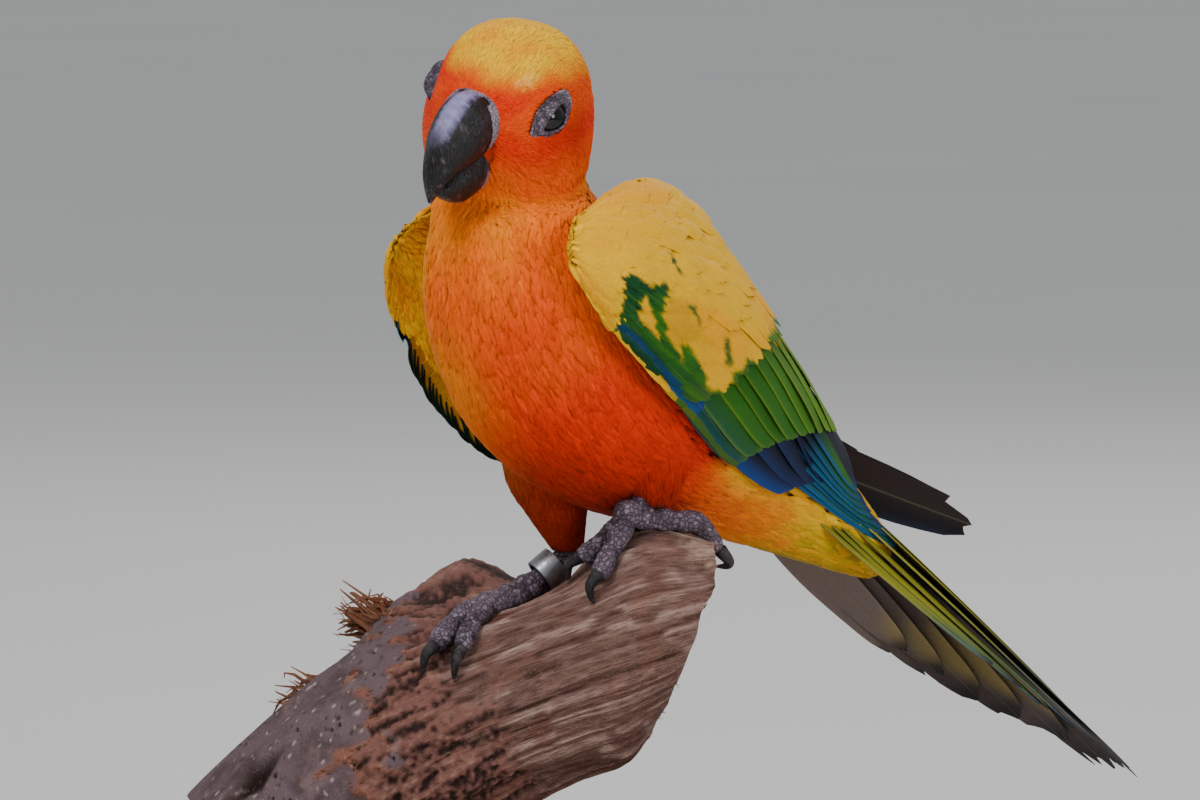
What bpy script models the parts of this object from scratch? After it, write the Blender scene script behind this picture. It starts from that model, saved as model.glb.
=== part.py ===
# A sun conure, life size, on a cut length of branch over a plain display stand.
# Everything is drawn in millimetres about the spot on the branch between the feet,
# with X to the bird's left, -Y the way the body faces and Z up. The last step sets
# it down in metres, with the origin at the middle of the stand's underside.
import math
import random

import bmesh
import bpy
from mathutils import Matrix, Vector, noise
from mathutils.bvhtree import BVHTree

GAP = 0.3                                  # between pieces that touch
FEET_SPOT = Vector((5.0, 5.0, 92.0))       # the drawing's zero, over the stand's underside
METRES = 0.001

# Head, in its own frame: zero between the eyes' level and the nape, -Y along the bill.
HEAD_CENTRE = Vector((1.3, -27.8, 100.4))
HEAD_YAW, HEAD_PITCH, HEAD_ROLL = 19.0, 13.0, 16.0
EYE_SPOT = Vector((11.6, -6.4, 2.2))
EYE_RADIUS = 4.5
EYE_AHEAD = 12.0                           # each eye looks this far ahead of straight out
EYE_SLANT = 24.0                           # the lids rise towards the back
LID_LENGTH, LID_HEIGHT, LID_THICK = 5.9, 4.3, 0.9
LID_STEPS, LID_SIDES = 14, 4
LID_OUT = 3.6                              # from the eye's middle

# Wings.
VANE_THICK = 0.55
ARM_END = 0.52                             # how far the fleshy arm runs along the folded wing
ARM_DEPTH = 9.0
ARM_RINGS, ARM_STRIPS = 8, 4
ARM_SUNK = 1.4                             # the arm lies this far under the outer feathers

# Tail.
TAIL_BASE = Vector((0.0, 62.0, 19.5))
TAIL_TIP = Vector((0.0, 171.5, -60.5))
TAIL_PAIRS = 5
TAIL_OUTER_SHARE = 0.52                    # outermost feather against the middle one
TAIL_VANE = 14.0
TAIL_VANE_LESS = 0.6                       # each feather further out is this much narrower
TAIL_PITCH = 30.0                          # how steeply each half of the tail falls away

# Branch, along a line close to the plane that the photograph is seen in.
ALONG = Vector((1.0, 1.0, 0.0)).normalized()
TOWARDS = Vector((1.0, -1.0, 0.0)).normalized()
BRANCH_SIDES, BRANCH_RINGS = 22, 31

# Stand.
BASE_SIZE = Vector((120.0, 150.0, 10.0))
BASE_CORNER, BASE_EDGE = 12.0, 1.5
ROD_RADIUS = 4.0
ROD_SPOTS = ((-9.0, -19.0), (-25.0, -35.0))


# Helpers.
def spline(rows, t):
    """A smooth curve through evenly spaced rows of numbers, for t from 0 to 1."""
    spans = len(rows) - 1
    place = min(max(t, 0.0), 1.0) * spans
    i = min(int(place), spans - 1)
    f = place - i
    a, b = rows[max(i - 1, 0)], rows[i]
    c, d = rows[i + 1], rows[min(i + 2, spans)]
    blend = (-0.5 * f + f * f - 0.5 * f ** 3, 1 - 2.5 * f * f + 1.5 * f ** 3,
             0.5 * f + 2 * f * f - 1.5 * f ** 3, -0.5 * f * f + 0.5 * f ** 3)
    return [p * blend[0] + q * blend[1] + r * blend[2] + s * blend[3]
            for p, q, r, s in zip(a, b, c, d)]


def smooth(t):
    t = min(max(t, 0.0), 1.0)
    return t * t * (3 - 2 * t)


def turn(degrees, axis):
    return Matrix.Rotation(math.radians(degrees), 4, axis)


HEAD_PLACE = (Matrix.Translation(HEAD_CENTRE) @ turn(HEAD_YAW, 'Z')
              @ turn(HEAD_ROLL, 'Y') @ turn(HEAD_PITCH, 'X'))


def close(bm):
    bmesh.ops.triangulate(bm, faces=bm.faces[:])
    bmesh.ops.recalc_face_normals(bm, faces=bm.faces[:])
    return bm


def loft(rings):
    """A closed skin through rings of points, each ring lying flat."""
    bm = bmesh.new()
    loops = [[bm.verts.new(p) for p in ring] for ring in rings]
    for low, high in zip(loops, loops[1:]):
        for i in range(len(low)):
            j = (i + 1) % len(low)
            bm.faces.new((low[i], low[j], high[j], high[i]))
    bm.faces.new(loops[0])
    bm.faces.new(loops[-1])
    return close(bm)


def thing(name, bm, group):
    mesh = bpy.data.meshes.new(name)
    bm.to_mesh(mesh)
    bm.free()
    obj = bpy.data.objects.new(name, mesh)
    group.objects.link(obj)
    return obj


def settle(obj):
    """Apply the modifiers and keep only the largest closed surface."""
    evaluated = obj.evaluated_get(bpy.context.evaluated_depsgraph_get())
    mesh = bpy.data.meshes.new_from_object(evaluated)
    obj.modifiers.clear()
    bm = bmesh.new()
    bm.from_mesh(mesh)
    unseen = set(bm.verts)
    islands = []
    while unseen:
        island = {unseen.pop()}
        edge = list(island)
        while edge:
            for link in edge.pop().link_edges:
                for vert in link.verts:
                    if vert in unseen:
                        unseen.discard(vert)
                        island.add(vert)
                        edge.append(vert)
        islands.append(island)
    islands.sort(key=len)
    for scrap in islands[:-1]:
        bmesh.ops.delete(bm, geom=list(scrap), context='VERTS')
    bmesh.ops.triangulate(bm, faces=bm.faces[:])
    bm.to_mesh(obj.data)
    bm.free()
    bpy.data.meshes.remove(mesh)


def combine(obj, others, operation):
    """Fuse closed pieces onto an object, or cut them from it, in one step."""
    group = bpy.data.collections.new(obj.name + "_pieces")
    bpy.context.scene.collection.children.link(group)
    for other in others:
        for home in list(other.users_collection):
            home.objects.unlink(other)
        group.objects.link(other)
    step = obj.modifiers.new(operation.lower(), 'BOOLEAN')
    step.operation = operation
    step.operand_type = 'COLLECTION'
    step.collection = group
    step.solver = 'EXACT'
    settle(obj)
    for other in others:
        bpy.data.objects.remove(other)
    bpy.data.collections.remove(group)


def ball(radius, place, segments=12, rings=8):
    bm = bmesh.new()
    bmesh.ops.create_uvsphere(bm, u_segments=segments, v_segments=rings, radius=radius, matrix=place)
    return close(bm)


def sweep(points, radii, sides, up=Vector((0, 0, 1))):
    """A tube along a list of points, with its own radius at each and no twist between them."""
    rings = []
    rise = up
    for i, (point, radius) in enumerate(zip(points, radii)):
        ahead = (points[min(i + 1, len(points) - 1)] - points[max(i - 1, 0)]).normalized()
        side = ahead.cross(rise).normalized()
        rise = side.cross(ahead)
        rings.append([point + (side * math.cos(a) + rise * math.sin(a)) * radius
                      for a in (k * math.tau / sides for k in range(sides))])
    return loft(rings)


def material(name, colour, roughness, metallic=0.0):
    mat = bpy.data.materials.new(name)
    mat.use_nodes = True
    shader = mat.node_tree.nodes["Principled BSDF"]
    shader.inputs["Base Color"].default_value = (*colour, 1.0)
    shader.inputs["Roughness"].default_value = roughness
    shader.inputs["Metallic"].default_value = metallic
    mat.diffuse_color = (*colour, 1.0)
    return mat


# Body: one form from the crown to the tips of the tail's coverts.
# A row of the head is (front y, front z, back y, back z, half width) in the head's frame.
HEAD_ROWS = (
    (-1.5, 17.2, 3.0, 17.2, 2.0),
    (-9.5, 14.6, 10.5, 14.6, 9.6),
    (-15.0, 9.6, 16.0, 9.0, 14.0),
    (-18.0, 3.4, 18.6, 1.6, 16.3),
    (-18.6, -3.4, 19.4, -5.6, 17.3),
    (-16.8, -10.2, 19.0, -12.4, 17.2),
    (-13.6, -16.2, 18.4, -16.4, 16.4),
)
# The same for the rest, in the body's frame.
BODY_ROWS = (
    (-42.5, 75.5, -8.5, 80.5, 17.0),
    (-43.6, 66.5, -1.5, 74.5, 20.0),
    (-43.0, 56.0, 8.0, 67.0, 22.8),
    (-39.0, 43.5, 18.5, 59.0, 24.4),
    (-31.0, 31.0, 29.0, 50.0, 24.6),
    (-17.0, 20.0, 39.0, 42.0, 23.4),
    (1.0, 12.5, 47.5, 35.0, 20.4),
    (20.0, 8.5, 55.0, 28.5, 16.6),
    (37.0, 4.5, 62.5, 23.5, 13.0),
    (54.0, 0.0, 71.0, 17.0, 10.4),
    (70.0, -4.5, 80.0, 9.0, 8.0),
    (83.0, -8.0, 88.0, 0.5, 4.6),
)
BODY_SIDES, BODY_RINGS = 24, 35
# The cut under the chin and jaw: a point of it and its way down. The others are shares of the form.
CHIN_CUT = (Vector((0.9, -27.0, 80.5)), Vector((-0.12, 0.20, -0.97)).normalized())
BREAST_CUT, VENT_CUT, TAIL_CUT = 0.405, 0.74, 0.86


def body_controls():
    rows = []
    for table, place in ((HEAD_ROWS, HEAD_PLACE), (BODY_ROWS, Matrix())):
        for fy, fz, by, bz, half in table:
            front, back = place @ Vector((0, fy, fz)), place @ Vector((0, by, bz))
            wide = place.to_3x3() @ Vector((half, 0, 0))
            rows.append([*((front + back) / 2), *((front - back) / 2), *wide])
    return rows


BODY_CONTROLS = body_controls()


def body_ring(t, sides, grow=0.0):
    """Points round the body at t, counted from the front, past its left side."""
    row = spline(BODY_CONTROLS, t)
    centre, deep, wide = Vector(row[:3]), Vector(row[3:6]), Vector(row[6:])
    deep += deep.normalized() * grow
    wide += wide.normalized() * grow
    return [centre + deep * math.cos(a) + wide * math.sin(a)
            for a in (k * math.tau / sides for k in range(sides))]


def body_form(sides, rings, grow=0.0):
    return loft([body_ring(k / (rings - 1), sides, grow) for k in range(rings)])


def body_plane(t):
    """A plane across the body at t, as a point and a direction towards the tail."""
    here = Vector(spline(BODY_CONTROLS, t)[:3])
    ahead = Vector(spline(BODY_CONTROLS, t + 0.02)[:3]) - Vector(spline(BODY_CONTROLS, t - 0.02)[:3])
    return here, ahead.normalized()


def body_part(whole, start, end):
    """The stretch of the body between two planes, each cut half a gap back."""
    piece = whole.copy()
    for plane, side in ((start, -1), (end, 1)):
        if plane is None:
            continue
        point, ahead = plane
        way = ahead * side
        bmesh.ops.bisect_plane(piece, geom=piece.verts[:] + piece.edges[:] + piece.faces[:], dist=1e-5,
                               plane_co=point - way * GAP / 2, plane_no=way, clear_outer=True)
        rim = [edge for edge in piece.edges if edge.is_boundary]
        bmesh.ops.holes_fill(piece, edges=rim, sides=0)
    return close(piece)


def lid_form(place):
    """An oval ring round the eye: a small circle spun about the eye's axis, then stretched."""
    bm = bmesh.new()
    round_edge = bmesh.ops.create_circle(bm, segments=LID_SIDES, radius=LID_THICK,
                                         matrix=Matrix.Translation((LID_HEIGHT, 0, 0)) @ turn(90, 'X'))
    bmesh.ops.spin(bm, geom=round_edge["verts"] + bm.edges[:], cent=(0, 0, 0), axis=(0, 0, 1),
                   angle=math.tau, steps=LID_STEPS, use_merge=True)
    bmesh.ops.remove_doubles(bm, verts=bm.verts[:], dist=1e-4)
    stretch = Matrix.Diagonal((1.0, LID_LENGTH / LID_HEIGHT, 1.0, 1.0))
    bmesh.ops.transform(bm, matrix=place @ stretch, verts=bm.verts[:])
    return close(bm)


# Bill.
# A row is (ridge y, ridge z, lower edge y, lower edge z, half width) in the head's frame.
UPPER_BILL_ROWS = (
    (-12.5, 5.6, -12.5, -6.0, 5.9),
    (-17.0, 6.9, -16.0, -7.2, 6.4),
    (-21.5, 6.0, -19.5, -8.4, 6.3),
    (-26.0, 2.6, -22.2, -9.0, 5.5),
    (-29.0, -2.2, -24.6, -9.0, 4.3),
    (-30.7, -7.3, -27.0, -10.0, 3.0),
    (-30.8, -11.0, -28.6, -11.8, 1.7),
    (-30.1, -14.0, -29.4, -14.0, 0.5),
)
LOWER_BILL_ROWS = (
    (-12.0, -6.0, -10.5, -14.0, 4.9),
    (-16.5, -7.0, -15.5, -16.0, 5.1),
    (-20.5, -8.5, -20.0, -16.6, 4.8),
    (-24.0, -9.8, -23.6, -15.4, 3.8),
    (-26.6, -11.0, -26.2, -13.6, 2.4),
)
NOSTRIL_SPOT = Vector((2.7, -18.6, 6.4))
NOSTRIL_RADIUS = 1.0
UPPER_BILL_MESH, LOWER_BILL_MESH = (14, 13), (12, 8)   # sides and rings
BILL_PINCH = 0.16                          # the bill narrows this much towards its lower edge


def bill_form(rows, sides, rings, grow=0.0):
    out = []
    for k in range(rings):
        ty, tz, ly, lz, half = spline(rows, k / (rings - 1))
        top, low = Vector((0, ty, tz)), Vector((0, ly, lz))
        centre, deep = (top + low) / 2, (top - low) / 2
        deep += deep.normalized() * grow
        ring = []
        for a in (j * math.tau / sides for j in range(sides)):
            pinch = 1.0 - BILL_PINCH * max(0.0, -math.cos(a))
            wide = (half + grow) * math.sin(a) * pinch
            ring.append(HEAD_PLACE @ (centre + deep * math.cos(a) + Vector((wide, 0, 0))))
        out.append(ring)
    return loft(out)


# Wings.
# A row is the lower edge, the middle and the upper edge of the folded left wing.
LEFT_WING_ROWS = (
    (27.0, -35.5, 69.0, 25.5, -35.0, 73.0, 22.5, -30.5, 77.5),
    (30.0, -28.5, 58.0, 32.5, -21.5, 70.0, 18.5, -7.5, 86.0),
    (30.5, -16.5, 47.0, 34.0, -4.5, 61.5, 16.0, 14.5, 78.5),
    (29.5, -3.0, 36.5, 32.5, 14.5, 49.0, 14.0, 35.5, 58.0),
    (25.5, 15.0, 24.0, 26.5, 33.0, 34.5, 12.5, 54.0, 38.0),
    (20.0, 37.0, 16.0, 19.5, 49.0, 22.5, 11.5, 66.0, 25.0),
    (14.0, 61.0, 7.5, 13.0, 67.0, 10.5, 10.0, 76.0, 12.0),
    (9.0, 87.0, -1.8, 8.5, 89.0, -1.2, 8.0, 91.0, -1.0),
)
# The same for the right wing, told as its mirror: it droops a little more at the front,
# and its tip lies across the rump and stands out further.
RIGHT_WING_ROWS = (
    (27.5, -35.5, 67.5, 26.5, -36.0, 72.0, 22.0, -31.0, 77.5),
    (33.5, -30.0, 55.5, 34.0, -23.0, 68.0, 18.5, -7.5, 85.0),
    (34.5, -22.0, 43.0, 35.0, -7.0, 59.0, 16.0, 14.5, 78.0),
    (33.0, -12.5, 31.5, 33.5, 10.0, 46.0, 14.0, 35.5, 58.0),
    (29.0, 3.0, 22.0, 27.0, 29.0, 34.0, 11.0, 54.0, 41.0),
    (19.0, 37.0, 18.5, 16.5, 51.0, 25.5, 8.0, 67.0, 30.5),
    (8.5, 68.0, 13.0, 6.0, 75.0, 17.5, 0.0, 82.0, 20.0),
    (-8.0, 106.0, 0.5, -8.5, 108.0, 1.5, -9.0, 110.0, 2.5),
)
# A tier is (count, root t from-to, root s from-to, tip t from-to, tip s from-to,
# width, lift at the root and at the tip, lean of each vane, added lift from one to the next).
TIERS = (
    # Primaries.
    (6, (0.43, 0.46), (0.12, 0.66), (1.00, 0.84), (0.50, 0.70), 10.0, (-5.6, -3.4), 9.0, 0.50),
    # Secondaries.
    (5, (0.44, 0.44), (0.20, 0.93), (0.72, 0.82), (0.12, 0.86), 13.5, (-2.9, -1.5), 9.0, 0.10),
    # Coverts along the lower edge.
    (3, (0.16, 0.36), (0.05, 0.07), (0.38, 0.60), (0.02, 0.03), 8.0, (-3.6, -1.2), 9.0, 0.20),
    # Greater coverts.
    (5, (0.37, 0.37), (0.08, 0.92), (0.57, 0.69), (0.10, 0.91), 14.0, (-1.4, -0.3), 9.0, 0.0),
    # Median coverts.
    (4, (0.26, 0.26), (0.12, 0.90), (0.42, 0.46), (0.12, 0.88), 15.5, (-1.0, 0.8), 9.0, 0.0),
)
VANE_ACROSS, VANE_STEPS = 2, 3


def wing_rows(side):
    if side > 0:
        return LEFT_WING_ROWS
    return [[-v if i % 3 == 0 else v for i, v in enumerate(row)] for row in RIGHT_WING_ROWS]


def wing_spot(rows, t, s):
    """A point of the folded wing's outer face: t runs to the tip, s from the lower edge up."""
    row = spline(rows, t)
    low, middle, high = Vector(row[:3]), Vector(row[3:6]), Vector(row[6:])
    bulge = middle * 2 - (low + high) / 2
    return low * (1 - s) ** 2 + bulge * 2 * s * (1 - s) + high * s * s


def wing_frame(rows, t, s, side):
    """The point, the way out of the face and the way to the tip there."""
    step = 0.01
    here = wing_spot(rows, t, s)
    along = wing_spot(rows, min(t + step, 1.0), s) - wing_spot(rows, max(t - step, 0.0), s)
    across = wing_spot(rows, t, s + step) - wing_spot(rows, t, s - step)
    out = along.cross(across) * side
    return here, out.normalized(), along.normalized()


def vane(route, width, tip_share, round_off):
    """A thin closed feather laid along a route, which gives the point, out and across at each step."""
    bm = bmesh.new()
    bmesh.ops.create_grid(bm, x_segments=VANE_ACROSS, y_segments=VANE_STEPS, size=0.5)
    bmesh.ops.triangulate(bm, faces=bm.faces[:])
    for vert in bm.verts:
        u, t = vert.co.x * 2, vert.co.y + 0.5
        t -= round_off * u * u * t ** 4
        share = (0.45 + 0.55 * smooth(t / 0.3)) * (1 - (1 - tip_share) * smooth((t - 0.72) / 0.28))
        here, out, across = route(t)
        vert.co = here + across * (u * width / 2 * share) - out * (0.04 * width * share * u * u)
    bmesh.ops.recalc_face_normals(bm, faces=bm.faces[:])
    bmesh.ops.solidify(bm, geom=bm.faces[:], thickness=VANE_THICK)
    bmesh.ops.recalc_face_normals(bm, faces=bm.faces[:])
    return bm


def wing_vane(rows, side, root, tip, width, lifts, lean, tip_share, round_off):
    def route(t):
        place = root[0] + (tip[0] - root[0]) * t, root[1] + (tip[1] - root[1]) * t
        here, out, along = wing_frame(rows, place[0], place[1], side)
        ahead = (tip[0] - root[0]), (tip[1] - root[1])
        near = wing_spot(rows, place[0] - ahead[0] * 0.05, place[1] - ahead[1] * 0.05)
        far = wing_spot(rows, min(place[0] + ahead[0] * 0.05, 1.0), place[1] + ahead[1] * 0.05)
        shaft = (far - near).normalized()
        across = out.cross(shaft).normalized()
        lift = lifts[0] + (lifts[1] - lifts[0]) * smooth(t / 0.5)
        bend = Matrix.Rotation(math.radians(lean), 3, shaft)
        return here + out * lift, bend @ out, bend @ across
    return vane(route, width, tip_share, round_off)


def build_wing(name, side, finish, solids, draw):
    rows = wing_rows(side)
    rings = []
    for k in range(ARM_RINGS + 1):
        t = 0.01 + (ARM_END - 0.01) * k / ARM_RINGS
        depth = 0.8 + (ARM_DEPTH - 0.8) * smooth(min(k / 2, (ARM_RINGS - k) / 7))
        face = [wing_frame(rows, t, 0.03 + 0.94 * j / ARM_STRIPS, side)[:2] for j in range(ARM_STRIPS + 1)]
        edge = [abs(2 * j / ARM_STRIPS - 1) for j in range(ARM_STRIPS + 1)]
        ring = [here - out * ARM_SUNK * e for (here, out), e in zip(face, edge)]
        ring += [here - out * (ARM_SUNK + depth * (1 - 0.5 * e)) for (here, out), e in zip(face[::-1], edge)]
        rings.append(ring)
    arm = thing(name, loft(rings), solids)
    vanes = []
    for count, root_t, root_s, tip_t, tip_s, width, lifts, lean, stack in TIERS:
        for k in range(count):
            f = k / (count - 1)
            root = root_t[0] + (root_t[1] - root_t[0]) * f, root_s[0] + (root_s[1] - root_s[0]) * f
            tip = (tip_t[0] + (tip_t[1] - tip_t[0]) * f + draw.uniform(-0.006, 0.006),
                   tip_s[0] + (tip_s[1] - tip_s[0]) * f)
            tip = min(tip[0], 1.0), tip[1]
            wide = width * draw.uniform(0.95, 1.05) * (0.8 if tip[0] > 0.9 else 1.0)
            raised = [lift + stack * k for lift in lifts]
            bm = wing_vane(rows, side, root, tip, wide, raised, -lean * side, 0.5, 0.10)
            vanes.append(thing("vane", bm, solids))
    combine(arm, vanes, 'UNION')
    arm.data.materials.append(finish)
    return arm


# Tail.
def tail_vane(side, rank):
    """One tail feather: rank 0 is beside the middle, the last one the outermost and shortest."""
    axis = TAIL_TIP - TAIL_BASE
    share = 1 - (1 - TAIL_OUTER_SHARE) * (rank / (TAIL_PAIRS - 1)) ** 0.9
    ahead = axis.normalized()
    pitch = math.radians(TAIL_PITCH * (0.4 + 0.6 * min(rank / 2, 1)))
    above = Vector((1, 0, 0)).cross(ahead).normalized()

    def route(t):
        spread = 1.5 + (1.2 + 3.3 * rank) * smooth(0.45 + 0.6 * t * share)
        x = side * spread
        fall = 1.0 * rank + spread * math.tan(pitch) * 0.8 + 0.9 * rank * (1 - t)
        out = Vector((side * math.sin(pitch), 0, 0)) + above * math.cos(pitch)
        here = TAIL_BASE + axis * share * t + Vector((x, 0, 0)) - above * fall
        return here, out, out.cross(ahead) * -1
    return vane(route, TAIL_VANE - TAIL_VANE_LESS * rank, 0.35, 0.06)


def tail_feathers(grow=0.0):
    """Every tail feather as a closed piece, swollen by a gap where it trims the wings."""
    pieces = [tail_vane(side, rank) for rank in range(TAIL_PAIRS) for side in (1, -1)]
    for bm in pieces:
        bm.normal_update()
        for vert, way in [(vert, vert.normal.copy()) for vert in bm.verts]:
            vert.co += way * grow
    return pieces


# Branch.
# A row is (along the photograph's plane, height, radius) of the branch's middle line.
BRANCH_ROWS = (
    (22.0, -14.0, 17.0),
    (8.0, -18.5, 19.5),
    (-10.0, -24.5, 20.5),
    (-28.0, -32.0, 21.5),
    (-46.0, -41.5, 22.5),
    (-64.0, -55.5, 21.5),
    (-84.0, -75.0, 22.0),
)
BRANCH_CUT = (-70.0, -60.0)                # middle of the sawn end, clear above the stand
BRANCH_CUT_AIM = (-0.57, -0.82)
BRANCH_TOWARDS = 5.0
# A swelling is (along, degrees round from the top towards the viewer, height, reach along, reach round).
SWELLINGS = (
    (12.0, -4.0, 8.5, 10.0, 42.0),
    (-19.0, -54.0, 25.0, 12.0, 22.0),
    (-34.0, -40.0, 9.0, 9.0, 30.0),
    (-13.0, -16.0, -4.5, 10.0, 22.0),
    (-50.0, 75.0, 2.5, 16.0, 40.0),
    (2.0, 120.0, 2.0, 14.0, 50.0),
)
# The broken end stands out on top and runs back underneath, over this many rings.
END_REACH, END_SLOPE, END_RINGS = 8.5, 29.0, 9


def branch_spot(t, turned, grow=0.0):
    """A point of the bark: t runs from the broken end, turned is the angle from the top."""
    row = spline(BRANCH_ROWS, t)
    ahead_row = [b - a for a, b in zip(spline(BRANCH_ROWS, t - 0.03), spline(BRANCH_ROWS, t + 0.03))]
    ahead = (ALONG * ahead_row[0] + Vector((0, 0, ahead_row[1]))).normalized()
    centre = ALONG * row[0] + TOWARDS * BRANCH_TOWARDS + Vector((0, 0, row[1]))
    rise = TOWARDS.cross(ahead).normalized()
    rise = rise if rise.z > 0 else -rise
    way = rise * math.cos(turned) + TOWARDS * math.sin(turned)
    radius = row[2]
    for along, round_from_top, height, reach, reach_round in SWELLINGS:
        off = (math.degrees(turned) - round_from_top + 180) % 360 - 180
        radius += height * math.exp(-((row[0] - along) / reach) ** 2 - (off / reach_round) ** 2)
    grain = noise.noise(Vector((t * 2.2, math.cos(turned) * 2.4, math.sin(turned) * 2.4)))
    knots = noise.noise(Vector((t * 8.0 + 7, math.cos(turned) * 3.1, math.sin(turned) * 3.1)))
    return centre + way * (radius + 1.6 * grain + 0.9 * knots + grow), ahead


def branch_form(grow=0.0):
    rings = []
    for k in range(BRANCH_RINGS):
        ring = []
        for j in range(BRANCH_SIDES):
            a = j * math.tau / BRANCH_SIDES
            here, ahead = branch_spot(k / (BRANCH_RINGS - 1), a, grow)
            if k < END_RINGS:
                splinter = noise.noise(Vector((math.cos(a) * 2.7, math.sin(a) * 2.7, 3.0)))
                slope = END_SLOPE * (1 - math.cos(a - 0.2)) / 2 - END_REACH
                here = here + ahead * ((slope + 2.0 * splinter - grow) * (1 - k / END_RINGS))
            ring.append(here)
        rings.append(ring)
    bm = loft(rings)
    point = ALONG * BRANCH_CUT[0] + TOWARDS * BRANCH_TOWARDS + Vector((0, 0, BRANCH_CUT[1]))
    aim = (ALONG * BRANCH_CUT_AIM[0] + Vector((0, 0, BRANCH_CUT_AIM[1]))).normalized()
    bmesh.ops.bisect_plane(bm, geom=bm.verts[:] + bm.edges[:] + bm.faces[:], dist=1e-5,
                           plane_co=point, plane_no=aim, clear_outer=True)
    bmesh.ops.holes_fill(bm, edges=[edge for edge in bm.edges if edge.is_boundary], sides=0)
    return close(bm)


# Legs and feet.
CLAW_LENGTH, CLAW_RADIUS = 8.5, 1.35
TOE_SIDES, TOE_RINGS = 6, 7
TOE_TAPER, TOE_PADS = 0.18, 0.09           # shares of a toe's radius
TOE_CLEAR = GAP + 0.15                     # off the bark
HUB_RADIUS = 3.0
# For each foot: where the tarsus leaves the feathers, the hub, and where each toe's claw starts.
FEET = {
    "l": (Vector((14.0, 2.5, 18.0)), Vector((13.5, -5.0, 13.5)), (
        (Vector((4.0, -8.5, 2.5)), 2.2),
        (Vector((12.0, -12.5, 0.5)), 2.2),
        (Vector((18.5, 11.0, 6.0)), 2.3),
        (Vector((7.0, 9.0, 5.0)), 1.9))),
    "r": (Vector((-9.0, -0.8, 3.0)), Vector((-13.0, -8.8, -4.0)), (
        (Vector((-11.0, -38.5, -14.5)), 2.4),
        (Vector((-7.0, -34.0, -16.5)), 2.1),
        (Vector((-24.5, 2.0, -12.0)), 1.9),
        (Vector((-12.0, 10.0, -12.0)), 2.0))),
}
# Down each thigh, from inside the belly to the ankle: points with the feathers' half width.
THIGHS = {
    "l": ((Vector((13.5, 2.0, 27.0)), 8.0), (Vector((13.8, 2.2, 20.0)), 6.4),
          (Vector((14.0, 2.2, 15.0)), 3.6)),
    "r": ((Vector((-11.5, -5.0, 27.0)), 9.5), (Vector((-11.0, -4.5, 18.0)), 8.4),
          (Vector((-9.8, -2.8, 10.5)), 5.8), (Vector((-9.0, -0.8, 3.8)), 3.2)),
}
TARSUS_RADIUS = 2.3
BAND_RADIUS, BAND_WALL, BAND_WIDE = 3.1, 0.8, 5.0
BAND_SIDE, BAND_PLACE = "r", 0.52          # which leg, and how far up its tarsus


def rest_on(tree, point, height):
    """The same point, lifted until it stands at least this high off the bark."""
    near, normal, _, distance = tree.find_nearest(point)
    inside = (point - near).dot(normal) < 0
    if inside or distance < height:
        return near + normal * height
    return point


def toe_route(tree, hub, end, radius, steps):
    points = []
    for k in range(steps + 1):
        f = k / steps
        straight = hub.lerp(end, f) + Vector((0, 0, 2.5 * math.sin(f * math.pi)))
        near, normal, _, _ = tree.find_nearest(straight)
        height = radius + TOE_CLEAR
        lying = near + normal * height
        points.append(rest_on(tree, straight.lerp(lying, smooth(f / 0.55)), height))
    for _ in range(2):
        middles = [(a + b * 2 + c) / 4 for a, b, c in zip(points, points[1:], points[2:])]
        points[1:-1] = [rest_on(tree, middle, radius + TOE_CLEAR) for middle in middles]
    return points


def claw_form(tree, start, ahead, normal):
    points, radii = [], []
    for k in range(6):
        f = k / 5
        bend = f * 1.15
        point = start + ahead * (CLAW_LENGTH * math.sin(bend) / 1.15) - normal * (
            CLAW_LENGTH * (1 - math.cos(bend)) / 1.15) + normal * 1.3 * math.sin(f * math.pi) ** 2
        radius = CLAW_RADIUS * (1 - f) ** 0.8 + 0.22
        points.append(rest_on(tree, point, radius + GAP))
        radii.append(radius)
    return sweep(points, radii, 6, normal)


def thigh_form(side):
    points = [point for point, _ in THIGHS[side]]
    radii = [radius for _, radius in THIGHS[side]]
    steps = [k / 8 for k in range(9)]
    line = [Vector(spline(points, t)) for t in steps]
    return sweep(line, [spline([[r] for r in radii], t)[0] for t in steps], 10, Vector((0, 1, 0)))


def tarsus_form(side, grow=0.0):
    ankle, hub, _ = FEET[side]
    lean = (hub - ankle).normalized()
    line = [hub + lean * (0.5 + grow), hub.lerp(ankle, 0.5), ankle, ankle - lean * (2.0 + grow)]
    radii = [TARSUS_RADIUS * share + grow for share in (1.05, 0.95, 1.0, 0.9)]
    return sweep(line, radii, 10, Vector((1, 0, 0)))


def tube(inner, outer, length, place, sides=18):
    """A plain ring: a square profile spun about its own axis."""
    bm = bmesh.new()
    corners = [bm.verts.new((r, 0, z)) for r, z in (
        (inner, -length / 2), (outer, -length / 2), (outer, length / 2), (inner, length / 2))]
    edges = [bm.edges.new((corners[i], corners[(i + 1) % 4])) for i in range(4)]
    bmesh.ops.spin(bm, geom=corners + edges, cent=(0, 0, 0), axis=(0, 0, 1), angle=math.tau,
                   steps=sides, use_merge=True)
    bmesh.ops.remove_doubles(bm, verts=bm.verts[:], dist=1e-4)
    bmesh.ops.transform(bm, matrix=place, verts=bm.verts[:])
    return close(bm)


def band_form(grow=0.0):
    ankle, hub, _ = FEET[BAND_SIDE]
    aim = (ankle - hub).normalized().to_track_quat('Z', 'X').to_matrix().to_4x4()
    place = Matrix.Translation(hub.lerp(ankle, BAND_PLACE)) @ aim
    return tube(BAND_RADIUS - grow, BAND_RADIUS + BAND_WALL + grow, BAND_WIDE + 2 * grow, place)


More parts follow.
